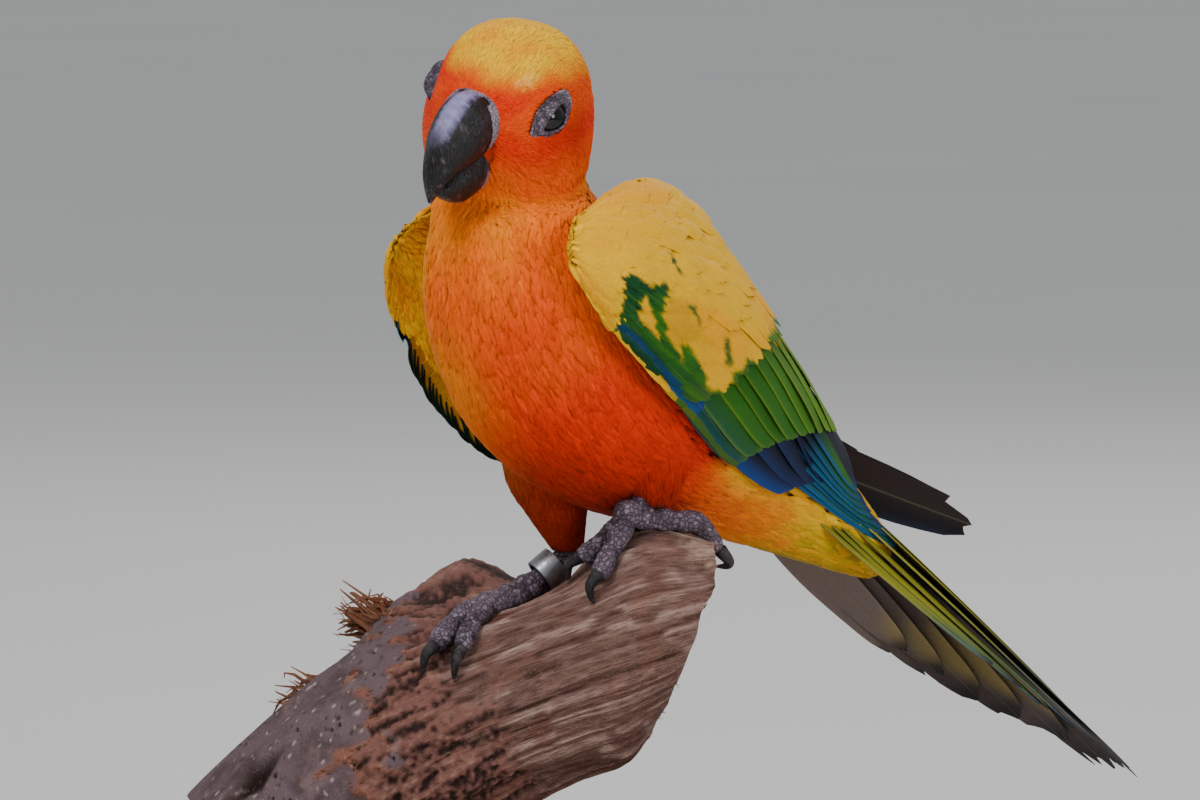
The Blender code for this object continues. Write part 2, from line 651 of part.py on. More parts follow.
def build_leg(side, tree, solids, finishes):
    _, hub, toes = FEET[side]
    foot = thing("foot_" + side, tarsus_form(side), solids)
    middle = Matrix.Translation(rest_on(tree, hub, HUB_RADIUS + GAP))
    pieces = [thing("hub", ball(HUB_RADIUS, middle, 10, 7), solids)]
    claws = []
    for i, (end, radius) in enumerate(toes):
        points = toe_route(tree, hub, end, radius, TOE_RINGS)
        radii = [radius * (1.0 - TOE_TAPER * k / TOE_RINGS + TOE_PADS * math.cos(k * math.pi))
                 for k in range(TOE_RINGS + 1)]
        ahead = (points[-1] - points[-2]).normalized()
        _, normal, _, _ = tree.find_nearest(points[-1])
        pieces.append(thing("toe", sweep(points, radii, TOE_SIDES), solids))
        start = points[-1] + ahead * GAP * 1.5
        claw = thing("claw_%s_%d" % (side, i + 1), claw_form(tree, start, ahead, normal), solids)
        claw.data.materials.append(finishes["claw"])
        claws.append(claw)
    combine(foot, pieces, 'UNION')
    if side == BAND_SIDE:
        combine(foot, [thing("cut", band_form(GAP), solids)], 'DIFFERENCE')
    for piece in [foot] + claws:
        combine(piece, [thing("cut", branch_form(GAP), solids),
                        thing("cut", body_form(BODY_SIDES, BODY_RINGS, GAP), solids)], 'DIFFERENCE')
    foot.data.materials.append(finishes["scales"])


def rod(radius, low, high, sides=20):
    bm = bmesh.new()
    middle = (low + high) / 2
    bmesh.ops.create_cone(bm, cap_ends=True, segments=sides, radius1=radius, radius2=radius,
                          depth=(high - low).length, matrix=Matrix.Translation(middle))
    return close(bm)


def base_form():
    bm = bmesh.new()
    place = Matrix.Translation(-FEET_SPOT + Vector((0, 0, BASE_SIZE.z / 2)))
    bmesh.ops.create_cube(bm, size=1.0, matrix=place @ Matrix.Diagonal((*BASE_SIZE, 1.0)))
    corners = [e for e in bm.edges if abs((e.verts[0].co - e.verts[1].co).z) > 1]
    bmesh.ops.bevel(bm, geom=corners, offset=BASE_CORNER, segments=5, profile=0.5, affect='EDGES',
                    material=-1)
    top = [e for e in bm.edges if all(abs(v.co.z + FEET_SPOT.z - BASE_SIZE.z) < 1e-3 for v in e.verts)]
    bmesh.ops.bevel(bm, geom=top, offset=BASE_EDGE, segments=2, profile=0.5, affect='EDGES', material=-1)
    return close(bm)


def set_down(obj):
    """Move a finished piece from the drawing's millimetres to its place in metres."""
    obj.data.transform(Matrix.Scale(METRES, 4) @ Matrix.Translation(FEET_SPOT))
    obj.data.update()


def paint():
    """Every finish, by a short name."""
    return {
        "gold": material("yellow_plumage", (0.90, 0.55, 0.03), 0.8),
        "orange": material("orange_plumage", (0.85, 0.20, 0.02), 0.8),
        "wing": material("wing_feathers", (0.10, 0.30, 0.08), 0.6),
        "tail": material("tail_feathers", (0.18, 0.20, 0.08), 0.6),
        "bill": material("black_horn", (0.03, 0.03, 0.035), 0.35),
        "eye": material("dark_eye", (0.03, 0.018, 0.012), 0.08),
        "scales": material("grey_scales", (0.22, 0.18, 0.20), 0.65),
        "claw": material("claw_horn", (0.04, 0.035, 0.04), 0.4),
        "band": material("ring_metal", (0.45, 0.46, 0.48), 0.4, 1.0),
        "wood": material("weathered_wood", (0.30, 0.17, 0.13), 0.9),
        "base": material("oiled_wood", (0.30, 0.17, 0.09), 0.5),
        "rod": material("brushed_metal", (0.55, 0.55, 0.56), 0.35, 1.0),
    }


def keep(name, bm, finish, solids):
    obj = thing(name, bm, solids)
    obj.data.materials.append(finish)
    return obj


def cutter(bm, solids):
    return thing("cut", bm, solids)


def build_body(solids, finishes):
    """The body is drawn whole and parted with thin cuts."""
    whole = body_form(BODY_SIDES, BODY_RINGS)
    cuts = [None, CHIN_CUT, body_plane(BREAST_CUT), body_plane(VENT_CUT), body_plane(TAIL_CUT), None]
    names = (("head", "orange"), ("neck", "orange"), ("torso", "orange"), ("rump", "gold"), ("tail", "tail"))
    parts = {}
    for i, (name, finish) in enumerate(names):
        parts[name] = keep(name, body_part(whole, cuts[i], cuts[i + 1]), finishes[finish], solids)
    whole.free()
    return parts


def build_face(head, solids, finishes):
    """The bill, the eyes and their lids, with the head cut to hold them."""
    upper = keep("bill_upper", bill_form(UPPER_BILL_ROWS, *UPPER_BILL_MESH), finishes["bill"], solids)
    lower = keep("bill_lower", bill_form(LOWER_BILL_ROWS, *LOWER_BILL_MESH), finishes["bill"], solids)
    mouth_line = bill_form(UPPER_BILL_ROWS, *UPPER_BILL_MESH, GAP)
    combine(lower, [cutter(mouth_line, solids)], 'DIFFERENCE')
    sockets = [cutter(bill_form(UPPER_BILL_ROWS, *UPPER_BILL_MESH, GAP), solids),
               cutter(bill_form(LOWER_BILL_ROWS, *LOWER_BILL_MESH, GAP), solids)]
    lids, nostrils = [], []
    for side, mark in ((1, "l"), (-1, "r")):
        spot = Vector((EYE_SPOT.x * side, EYE_SPOT.y, EYE_SPOT.z))
        place = HEAD_PLACE @ Matrix.Translation(spot)
        keep("eye_" + mark, ball(EYE_RADIUS, place), finishes["eye"], solids)
        sockets.append(cutter(ball(EYE_RADIUS + GAP, place), solids))
        facing = turn(-EYE_AHEAD * side, 'Z') @ turn(EYE_SLANT, 'X') @ turn(90, 'Y')
        rim = place @ Matrix.Translation((LID_OUT * side, 0, 0)) @ facing
        lids.append(thing("lid", lid_form(rim), solids))
        spot = Vector((NOSTRIL_SPOT.x * side, NOSTRIL_SPOT.y, NOSTRIL_SPOT.z))
        nostrils.append(cutter(ball(NOSTRIL_RADIUS, HEAD_PLACE @ Matrix.Translation(spot), 10, 6), solids))
    combine(upper, nostrils, 'DIFFERENCE')
    combine(head, lids, 'UNION')
    combine(head, sockets, 'DIFFERENCE')


def build_feathers(tail, solids, finishes):
    """The wings, cut clear of the body and the tail, and the tail's own feathers."""
    draw = random.Random(11)
    for name, side in (("wing_l", 1), ("wing_r", -1)):
        wing = build_wing(name, side, finishes["wing"], solids, draw)
        clear = [body_form(BODY_SIDES, BODY_RINGS, GAP)] + tail_feathers(GAP * 1.5)
        combine(wing, [cutter(bm, solids) for bm in clear], 'DIFFERENCE')
    root = body_plane(TAIL_CUT)
    feathers = [thing("vane", body_part(bm, root, None), solids) for bm in tail_feathers()]
    combine(tail, feathers, 'UNION')


def build_legs(tree, solids, finishes):
    for side in ("l", "r"):
        build_leg(side, tree, solids, finishes)
        thigh = keep("thigh_" + side, thigh_form(side), finishes["orange"], solids)
        combine(thigh, [cutter(body_form(BODY_SIDES, BODY_RINGS, GAP), solids),
                        cutter(tarsus_form(side, GAP), solids)], 'DIFFERENCE')
    keep("leg_band", band_form(), finishes["band"], solids)


def build_stand(tree, solids, finishes):
    """The base, with each rod trimmed to the bark that it holds."""
    keep("stand_base", base_form(), finishes["base"], solids)
    top = BASE_SIZE.z - FEET_SPOT.z
    for i, (x, y) in enumerate(ROD_SPOTS):
        hit, _, _, _ = tree.ray_cast(Vector((x, y, top)), Vector((0, 0, 1)))
        low, high = Vector((x, y, top + GAP)), Vector((x, y, hit.z + ROD_RADIUS))
        post = keep("stand_rod_%d" % (i + 1), rod(ROD_RADIUS, low, high), finishes["rod"], solids)
        combine(post, [cutter(branch_form(GAP), solids)], 'DIFFERENCE')


def main():
    for obj in list(bpy.data.objects):
        bpy.data.objects.remove(obj)
    solids = bpy.data.collections.new("sun_conure")
    bpy.context.scene.collection.children.link(solids)
    finishes = paint()

    parts = build_body(solids, finishes)
    build_face(parts["head"], solids, finishes)
    build_feathers(parts["tail"], solids, finishes)

    bark = branch_form()
    tree = BVHTree.FromBMesh(bark)
    keep("perch_branch", bark, finishes["wood"], solids)
    build_legs(tree, solids, finishes)
    build_stand(tree, solids, finishes)
    for obj in list(solids.objects):
        set_down(obj)


main()
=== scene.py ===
# %% [markdown]
# # A sun conure, life size, on a cut length of branch
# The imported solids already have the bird's size, pose and outline. This lesson dresses them: skin, thousands of
# small feathers, big wing and tail feathers, horn, eyes, scaled feet, bark and a plain stand. Everything is drawn
# in millimetres about the spot on the branch between the feet (X to the bird's left, -Y the way it faces, Z up)
# and set down in metres at the end, so the numbers can be checked with a ruler.

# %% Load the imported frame
import math
import random

import bmesh
import bpy
import numpy as np
from mathutils import Matrix, Vector, noise
from mathutils.bvhtree import BVHTree


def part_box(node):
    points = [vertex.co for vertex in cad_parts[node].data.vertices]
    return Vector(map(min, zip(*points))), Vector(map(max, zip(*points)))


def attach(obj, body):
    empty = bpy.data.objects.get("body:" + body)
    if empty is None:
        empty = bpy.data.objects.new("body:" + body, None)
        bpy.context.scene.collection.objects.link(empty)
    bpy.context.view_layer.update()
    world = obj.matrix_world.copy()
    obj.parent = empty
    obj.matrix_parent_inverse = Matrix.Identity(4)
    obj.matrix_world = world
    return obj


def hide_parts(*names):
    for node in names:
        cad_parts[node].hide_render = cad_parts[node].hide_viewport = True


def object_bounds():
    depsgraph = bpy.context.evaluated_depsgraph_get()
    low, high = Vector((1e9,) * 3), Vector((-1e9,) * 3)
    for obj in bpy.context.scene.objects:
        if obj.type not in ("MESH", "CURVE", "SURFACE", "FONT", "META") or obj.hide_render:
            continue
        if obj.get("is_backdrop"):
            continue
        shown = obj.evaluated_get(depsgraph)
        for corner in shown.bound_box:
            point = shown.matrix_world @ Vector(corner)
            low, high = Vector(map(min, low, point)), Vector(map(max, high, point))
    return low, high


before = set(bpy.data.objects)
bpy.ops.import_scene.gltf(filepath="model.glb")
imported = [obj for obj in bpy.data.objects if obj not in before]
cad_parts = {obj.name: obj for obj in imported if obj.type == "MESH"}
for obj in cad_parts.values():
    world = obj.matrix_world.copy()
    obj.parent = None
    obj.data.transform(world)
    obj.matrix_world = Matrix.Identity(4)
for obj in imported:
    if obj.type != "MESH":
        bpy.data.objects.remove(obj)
cad_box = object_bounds()
FEET_SPOT = np.array((5.0, 5.0, 92.0))     # the drawing's zero, over the middle of the stand's underside
print("solids:", len(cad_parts), "nodes in", [[round(v, 4) for v in corner] for corner in cad_box])

# %% [markdown]
# ## Small helpers
# Most forms here are smooth curves through a few rows of numbers: a row says where a section of the head, wing or
# branch lies. `curve` reads such rows anywhere between them, for a whole array of places at once, because numpy is
# what makes tens of thousands of feathers quick. `smooth` is the soft step that fades one thing into the next.

# %% Curves, soft steps and colours
def curve(rows, t):
    """A Catmull-Rom curve through evenly spaced rows of numbers, read at every t from 0 to 1."""
    rows = np.asarray(rows, float)
    place = np.clip(np.asarray(t, float), 0.0, 1.0) * (len(rows) - 1)
    i = np.minimum(place.astype(int), len(rows) - 2)
    f = (place - i)[..., None]
    a, b, c, d = rows[np.maximum(i - 1, 0)], rows[i], rows[i + 1], rows[np.minimum(i + 2, len(rows) - 1)]
    return (a * (-0.5 * f + f * f - 0.5 * f ** 3) + b * (1 - 2.5 * f * f + 1.5 * f ** 3)
            + c * (0.5 * f + 2 * f * f - 1.5 * f ** 3) + d * (-0.5 * f * f + 0.5 * f ** 3))


def smooth(x, low=0.0, high=1.0):
    x = np.clip((np.asarray(x, float) - low) / (high - low), 0.0, 1.0)
    return x * x * (3 - 2 * x)


def unit(vectors):
    return vectors / np.maximum(np.linalg.norm(vectors, axis=-1, keepdims=True), 1e-9)


def hue(red, green, blue):
    """A colour as a painter's swatch reads on screen, from 0 to 255, turned into light."""
    return np.array([(c / 255 / 12.92) if c <= 10 else ((c / 255 + 0.055) / 1.055) ** 2.4
                     for c in (red, green, blue)])


def mix(a, b, share):
    share = np.asarray(share, float)[..., None]
    return a * (1 - share) + b * share


def cloudy(points, size, seed=0.0):
    """Soft random patches of about this size in millimetres, between about -1 and 1."""
    return np.array([noise.noise(Vector((x / size + seed, y / size - seed, z / size + 2 * seed)))
                     for x, y, z in points]) * 1.6


def noise_at(points):
    """Smooth noise between -1 and 1 at each place."""
    return np.array([noise.noise(Vector(point)) for point in points.reshape(-1, 3)]).reshape(points.shape[:-1])


# %% From the drawing to a finished piece
def set_down(points):
    return (np.asarray(points, float) + FEET_SPOT) * 0.001


def hand_over(obj, slot, *replaced):
    """The piece rides with the model and stands for the CAD nodes that it hides; slot is not used."""
    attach(obj, "root")
    if replaced:
        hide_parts(*replaced)
    triangles = sum(len(face.vertices) - 2 for face in obj.data.polygons)
    print("%-18s %7d triangles" % (obj.name, triangles))
    return obj


def mesh_piece(name, points, faces, finish, maps=(), tint=None, crease=None):
    """A mesh straight from arrays: points in millimetres and faces of one size."""
    mesh = bpy.data.meshes.new(name)
    count, sides = faces.shape
    mesh.vertices.add(len(points))
    mesh.vertices.foreach_set("co", set_down(points).astype(np.float32).ravel())
    mesh.loops.add(count * sides)
    mesh.loops.foreach_set("vertex_index", faces.astype(np.int32).ravel())
    mesh.polygons.add(count)
    mesh.polygons.foreach_set("loop_start", np.arange(0, count * sides, sides, dtype=np.int32))
    for map_name, coords in maps:
        layer = mesh.uv_layers.new(name=map_name)
        layer.uv.foreach_set("vector", coords[faces.ravel()].astype(np.float32).ravel())
    if tint is not None:
        layer = mesh.attributes.new("Tint", 'FLOAT_COLOR', 'POINT')
        layer.data.foreach_set("color", np.c_[tint, np.ones(len(tint))].astype(np.float32).ravel())
    mesh.update(calc_edges=True)
    mesh.shade_smooth()
    if crease:
        mesh.set_sharp_from_angle(angle=math.radians(crease))
    mesh.materials.append(finish)
    obj = bpy.data.objects.new(name, mesh)
    bpy.context.scene.collection.objects.link(obj)
    return obj


def bmesh_piece(name, bm, finish, crease=None):
    """The same for a shape made with bmesh operators, still in millimetres."""
    bmesh.ops.recalc_face_normals(bm, faces=bm.faces[:])
    bmesh.ops.transform(bm, verts=bm.verts[:],
                        matrix=Matrix.Scale(0.001, 4) @ Matrix.Translation(Vector(FEET_SPOT)))
    mesh = bpy.data.meshes.new(name)
    bm.to_mesh(mesh)
    bm.free()
    mesh.shade_smooth()
    if crease:
        mesh.set_sharp_from_angle(angle=math.radians(crease))
    mesh.materials.append(finish)
    obj = bpy.data.objects.new(name, mesh)
    bpy.context.scene.collection.objects.link(obj)
    return obj


def grid(across, along):
    """A flat sheet with its own map, u across and v along, ready to be bent into a shape."""
    bm = bmesh.new()
    bm.loops.layers.uv.new("OFBake")
    bmesh.ops.create_grid(bm, x_segments=across, y_segments=along, size=0.5, calc_uvs=True)
    return bm


def bend(bm, shape):
    """Move every point of a sheet to shape(u, v), which takes and gives whole arrays."""
    flat = np.array([vert.co for vert in bm.verts])
    for vert, place in zip(bm.verts, shape(flat[:, 0] + 0.5, flat[:, 1] + 0.5)):
        vert.co = place
    return bm


def keep_map(bm, corner, size):
    """Shrink a sheet's map into its own field of the piece's map."""
    layer = bm.loops.layers.uv["OFBake"]
    for face in bm.faces:
        for loop in face.loops:
            u, v = loop[layer].uv
            loop[layer].uv = (corner[0] + u * size[0], corner[1] + v * size[1])
    return bm

# %% [markdown]
# ## Finishes
# Colour on a bird changes from feather to feather and even along one feather, so every feathered piece carries its
# colours in a point attribute named Tint, worked out from where the feather grows. The shaders add what is too
# small for points: the fine barbs of a vane, scuffs in horn, grain in wood. An effect that several finishes share
# is a node group, made once and placed with its own numbers.

# %% Node helpers
def put(tree, kind, sockets=None, **settings):
    """Add a node; a socket is given either a value or another node's output."""
    made = tree.nodes.new("ShaderNode" + kind)
    for key, value in settings.items():
        setattr(made, key, value)
    for key, value in (sockets or {}).items():
        if isinstance(value, bpy.types.NodeSocket):
            tree.links.new(value, made.inputs[key])
        else:
            made.inputs[key].default_value = value
    return made


def sum_up(tree, how, a, b=0.0, clamp=False):
    return put(tree, "Math", {0: a, 1: b}, operation=how, use_clamp=clamp).outputs[0]


def fade(tree, value, low, high, to_low=0.0, to_high=1.0):
    return put(tree, "MapRange", {"Value": value, "From Min": low, "From Max": high, "To Min": to_low,
                                  "To Max": to_high}, interpolation_type='SMOOTHSTEP').outputs[0]


def blend(tree, share, a, b, how='MIX'):
    return put(tree, "Mix", {0: share, 6: a, 7: b}, data_type='RGBA', blend_type=how).outputs[2]


def new_group(name, takes, gives):
    group = bpy.data.node_groups.new(name, 'ShaderNodeTree')
    for label, kind, value in takes:
        socket = group.interface.new_socket(label, in_out='INPUT', socket_type="NodeSocket" + kind)
        if value is not None:
            socket.default_value = value
    for label, kind in gives:
        group.interface.new_socket(label, in_out='OUTPUT', socket_type="NodeSocket" + kind)
    return group, group.nodes.new("NodeGroupInput").outputs, group.nodes.new("NodeGroupOutput").inputs


def place_group(tree, group, sockets):
    made = tree.nodes.new("ShaderNodeGroup")
    made.node_tree = group
    for key, value in sockets.items():
        if isinstance(value, bpy.types.NodeSocket):
            tree.links.new(value, made.inputs[key])
        else:
            made.inputs[key].default_value = value
    return made.outputs


def finish_of(name, roughness, **fixed):
    """A new material with its plain numbers set on the shader's own sockets."""
    mat = bpy.data.materials.new(name)
    mat.use_nodes = True
    shader = mat.node_tree.nodes["Principled BSDF"]
    shader.inputs["Roughness"].default_value = roughness
    for key, value in fixed.items():
        shader.inputs[key.replace("_", " ")].default_value = value
    return mat, mat.node_tree, shader.inputs


def rgba(colour):
    return (*[float(c) for c in colour], 1.0)


def bump(tree, height, strength, distance, normal=None):
    sockets = {"Height": height, "Strength": strength, "Distance": distance}
    if normal is not None:
        sockets["Normal"] = normal
    return put(tree, "Bump", sockets).outputs["Normal"]


# %% [markdown]
# Two shared effects. `barbs` draws the slanting barbs and the shaft of a vane from the feather's own little map,
# so they follow each feather round its bend. `patchy` is the slow and fine unevenness that dust, wear and dye leave
# on anything natural; it reads the object's own coordinates, so it stays put from every side.

# %% The shared groups
barbs, takes, gives = new_group(
    "barbs",
    [("Place", "Vector", None), ("Count", "Float", 60.0), ("Lean", "Float", 10.0), ("Shaft", "Float", 0.06)],
    [("Height", "Float"), ("Shaft", "Float"), ("Side", "Float")])
place = put(barbs, "SeparateXYZ", {0: takes["Place"]}).outputs
side = sum_up(barbs, 'MULTIPLY', sum_up(barbs, 'ABSOLUTE', sum_up(barbs, 'SUBTRACT', place[0], 0.5)), 2.0)
turns = sum_up(barbs, 'SUBTRACT', sum_up(barbs, 'MULTIPLY', place[1], takes["Count"]),
               sum_up(barbs, 'MULTIPLY', side, takes["Lean"]))
ridge = sum_up(barbs, 'MULTIPLY_ADD', sum_up(barbs, 'SINE', sum_up(barbs, 'MULTIPLY', turns, math.tau)), 0.5)
barbs.links.new(fade(barbs, side, takes["Shaft"], 0.0), gives["Shaft"])
barbs.links.new(sum_up(barbs, 'ADD', sum_up(barbs, 'MULTIPLY', ridge, 0.35),
                       fade(barbs, side, takes["Shaft"], 0.0)), gives["Height"])
barbs.links.new(side, gives["Side"])

patchy, takes, gives = new_group(
    "patchy",
    [("Place", "Vector", None), ("Scale", "Float", 100.0), ("Stretch", "Vector", (1.0, 1.0, 1.0))],
    [("Slow", "Float"), ("Fine", "Float"), ("Colour", "Color")])
stretched = put(patchy, "VectorMath", {0: takes["Place"], 1: takes["Stretch"]}, operation='MULTIPLY').outputs[0]
slow = put(patchy, "TexNoise", {"Vector": stretched, "Scale": takes["Scale"], "Detail": 3.0})
fine = put(patchy, "TexNoise", {"Vector": stretched, "Scale": sum_up(patchy, 'MULTIPLY', takes["Scale"], 7.0),
                                "Detail": 4.0, "Roughness": 0.6})
patchy.links.new(slow.outputs[0], gives["Slow"])
patchy.links.new(fine.outputs[0], gives["Fine"])
patchy.links.new(slow.outputs[1], gives["Colour"])
print("groups:", barbs.name, patchy.name)


# %% [markdown]
# ## Feather finishes
# A plume is soft and scatters light at its fringe, which a little sheen gives. The big vanes are smoother and
# slightly glossy, with a pale shaft. Both take their colour from Tint and only vary it, never replace it.

# %% Plumes and vanes
def feather_finish(name, roughness, sheen, relief, count, lean, shaft_glow):
    mat, tree, shader = finish_of(name, roughness, Sheen_Weight=sheen, Sheen_Roughness=0.4,
                                  Specular_IOR_Level=0.12)
    here = put(tree, "TexCoord").outputs["Object"]
    tint = put(tree, "Attribute", attribute_name="Tint").outputs["Color"]
    vane = place_group(tree, barbs, {"Place": put(tree, "UVMap", uv_map="Vane").outputs[0],
                                     "Count": count, "Lean": lean, "Shaft": 0.07})
    rough = place_group(tree, patchy, {"Place": here, "Scale": 260.0})
    light = put(tree, "Math", {0: rough["Fine"], 1: 0.5, 2: 0.75}, operation="MULTIPLY_ADD").outputs[0]
    colour = blend(tree, 1.0, tint, put(tree, "CombineColor", {0: light, 1: light, 2: light}).outputs[0],
                   'MULTIPLY')
    colour = blend(tree, sum_up(tree, 'MULTIPLY', vane["Shaft"], shaft_glow), colour,
                   rgba(hue(190, 200, 150)))
    tree.links.new(colour, shader["Base Color"])
    tree.links.new(bump(tree, vane["Height"], relief, 0.0002), shader["Normal"])
    return mat


plume = feather_finish("soft_plumes", 0.8, 0.04, 0.15, 14.0, 3.0, 0.0)
vanes = feather_finish("smooth_vanes", 0.55, 0.02, 0.5, 70.0, 12.0, 0.07)
print("feather finishes:", plume.name, vanes.name)

# %% [markdown]
# ## The skin
# Under its feathers a bird is one smooth body. The solids part it into head, neck, breast and rump with thin cuts,
# and here one skin takes their place, so that no seam can show. It is drawn from the same rows of sections, each
# given by its front, its back and its half width, and it lies inside the solids by the depth of the coat. The
# fleshy arms of the folded wings and the thighs are closed lofts of their own that sink into it.

# %% The body's sections
HEAD_CENTRE = Vector((1.3, -27.8, 100.4))
HEAD_PLACE = (Matrix.Translation(HEAD_CENTRE) @ Matrix.Rotation(math.radians(19), 4, 'Z')
              @ Matrix.Rotation(math.radians(16), 4, 'Y') @ Matrix.Rotation(math.radians(13), 4, 'X'))
HEAD_TURN = np.array(HEAD_PLACE.to_3x3())
# Front y, front z, back y, back z and half width, from the crown to the jaw in the head's own frame.
HEAD_ROWS = (
    (-1.5, 17.2, 3.0, 17.2, 2.0), (-9.5, 14.6, 10.5, 14.6, 9.6), (-15.0, 9.6, 16.0, 9.0, 14.0),
    (-18.0, 3.4, 18.6, 1.6, 16.3), (-18.6, -3.4, 19.4, -5.6, 17.3), (-16.8, -10.2, 19.0, -12.4, 17.2),
    (-13.6, -16.2, 18.4, -16.4, 16.4))
# The same from the throat to the tips of the tail's coverts, in the body's frame.
BODY_ROWS = (
    (-42.5, 75.5, -8.5, 80.5, 17.0), (-43.6, 66.5, -1.5, 74.5, 20.0), (-43.0, 56.0, 8.0, 67.0, 22.8),
    (-39.0, 43.5, 18.5, 59.0, 24.4), (-31.0, 31.0, 29.0, 50.0, 24.6), (-17.0, 20.0, 39.0, 42.0, 23.4),
    (1.0, 12.5, 47.5, 35.0, 20.4), (20.0, 8.5, 55.0, 28.5, 16.6), (37.0, 4.5, 62.5, 23.5, 13.0),
    (54.0, 0.0, 71.0, 17.0, 10.4), (70.0, -4.5, 80.0, 9.0, 8.0), (83.0, -8.0, 88.0, 0.5, 4.6))
sections = []
for table, frame_of in ((HEAD_ROWS, HEAD_PLACE), (BODY_ROWS, Matrix())):
    for front_y, front_z, back_y, back_z, half in table:
        front = frame_of @ Vector((0, front_y, front_z))
        back = frame_of @ Vector((0, back_y, back_z))
        wide = frame_of.to_3x3() @ Vector((half, 0, 0))
        sections.append([*((front + back) / 2), *((front - back) / 2), *wide])
JAW = (len(HEAD_ROWS) - 1) / (len(sections) - 1)   # where the head ends, as a share of the whole
print("body sections:", len(sections), "the head ends at", round(JAW, 3))


def body_at(t, around, grow=0.0):
    """Points of the body: t runs from the crown to the tail, around from the front past the left side."""
    row = curve(sections, t)
    centre, deep, wide = row[..., :3], row[..., 3:6], row[..., 6:]
    # The long cheek feathers bridge the fold that the tilted head makes with the neck.
    grow = grow + 1.2 * np.exp(-((t - JAW - 0.012) / 0.024) ** 2) * np.clip(np.sin(around), 0, 1)
    deep = deep + unit(deep) * np.asarray(grow)[..., None]
    wide = wide + unit(wide) * np.asarray(grow)[..., None]
    return centre + deep * np.cos(around)[..., None] + wide * np.sin(around)[..., None]


# %% The folded wings' outer faces
# Each row is the lower edge, the middle and the upper edge. The right wing's rows are told as its mirror.
WING_ROWS = {
    1: ((27.0, -35.5, 69.0, 25.5, -35.0, 73.0, 22.5, -30.5, 77.5),
        (30.0, -28.5, 58.0, 32.5, -21.5, 70.0, 18.5, -7.5, 86.0),
        (30.5, -16.5, 47.0, 34.0, -4.5, 61.5, 16.0, 14.5, 78.5),
        (29.5, -3.0, 36.5, 32.5, 14.5, 49.0, 14.0, 35.5, 58.0),
        (25.5, 15.0, 24.0, 26.5, 33.0, 34.5, 12.5, 54.0, 38.0),
        (20.0, 37.0, 16.0, 19.5, 49.0, 22.5, 11.5, 66.0, 25.0),
        (14.0, 61.0, 7.5, 13.0, 67.0, 10.5, 10.0, 76.0, 12.0),
        (9.0, 87.0, -1.8, 8.5, 89.0, -1.2, 8.0, 91.0, -1.0)),
    -1: ((27.5, -35.5, 67.5, 26.5, -36.0, 72.0, 22.0, -31.0, 77.5),
         (33.5, -30.0, 55.5, 34.0, -23.0, 68.0, 18.5, -7.5, 85.0),
         (34.5, -22.0, 43.0, 35.0, -7.0, 59.0, 16.0, 14.5, 78.0),
         (33.0, -12.5, 31.5, 33.5, 10.0, 46.0, 14.0, 35.5, 58.0),
         (29.0, 3.0, 22.0, 27.0, 29.0, 34.0, 11.0, 54.0, 41.0),
         (19.0, 37.0, 18.5, 16.5, 51.0, 25.5, 8.0, 67.0, 30.5),
         (8.5, 68.0, 13.0, 6.0, 75.0, 17.5, 0.0, 82.0, 20.0),
         (-8.0, 106.0, 0.5, -8.5, 108.0, 1.5, -9.0, 110.0, 2.5))}


def wing_at(side, t, s):
    """Points of a wing's outer face: t runs to the tip, s from the lower edge up, a little past both too."""
    row = curve(WING_ROWS[side], t) * np.tile((side, 1, 1), 3)
    low, middle, high = row[..., :3], row[..., 3:6], row[..., 6:]
    s = np.asarray(s, float)[..., None]
    return low * (1 - s) ** 2 + (middle * 2 - (low + high) / 2) * 2 * s * (1 - s) + high * s * s


def wing_out(side, t, s, step=0.01):
    """The way out of that face."""
    along = wing_at(side, np.minimum(t + step, 1), s) - wing_at(side, np.maximum(t - step, 0), s)
    return unit(np.cross(along, wing_at(side, t, s + step) - wing_at(side, t, s - step))) * side


print("left wing, wrist to tip: %.0f mm" % np.linalg.norm(wing_at(1, 1.0, 0.5) - wing_at(1, 0.0, 0.5)))

# %% [markdown]
# A loft is a flat grid bent round: its left and right edges meet in a seam that is then merged, and its two ends
# are filled. The grid's map comes along for free and becomes the unwrap that the coat uses too. A Boolean union
# would fuse the pieces, but it would also crumple that map, and every join lies deep under feathers.

# %% Lofts for the skin
BODY_FIELD, ARM_FIELD, THIGH_FIELD = ((0.01, 0.01), (0.56, 0.98)), (0.60, 0.18, 0.42), (0.81, 0.15, 0.30)
COAT_DEPTH = (0.6, 0.7, 1.3, 1.5, 1.4, 0.8)      # from the crown to the tail
THIGHS = {
    1: ((13.5, 2.0, 27.0, 8.0), (13.8, 2.2, 20.0, 6.4), (14.0, 2.2, 15.0, 3.6)),
    -1: ((-11.5, -5.0, 27.0, 9.5), (-11.0, -4.5, 18.0, 8.4), (-9.8, -2.8, 10.5, 5.8), (-9.0, -0.8, 3.8, 3.2))}


def coat_depth(t):
    return curve([[depth] for depth in COAT_DEPTH], t)[..., 0]


def thigh_at(side, t, around, grow=0.0):
    """Points of the feathered thigh, from inside the belly down to the ankle."""
    row = curve(THIGHS[side], t)
    centre, radius = row[..., :3], row[..., 3] + grow
    flat = np.stack([np.sin(around), np.cos(around), 0 * around], -1)
    return centre + flat * radius[..., None]


def loft(shape, sides, rings, corner, size):
    """A closed skin from a grid bent by shape(t, turn), with its map in one field."""
    bm = bend(grid(sides, rings), lambda u, v: shape(v, u * math.tau))
    keep_map(bm, corner, size)
    bmesh.ops.remove_doubles(bm, verts=bm.verts[:], dist=1e-4)
    bmesh.ops.holes_fill(bm, edges=[edge for edge in bm.edges if edge.is_boundary], sides=0)
    bmesh.ops.recalc_face_normals(bm, faces=bm.faces[:])
    return bm


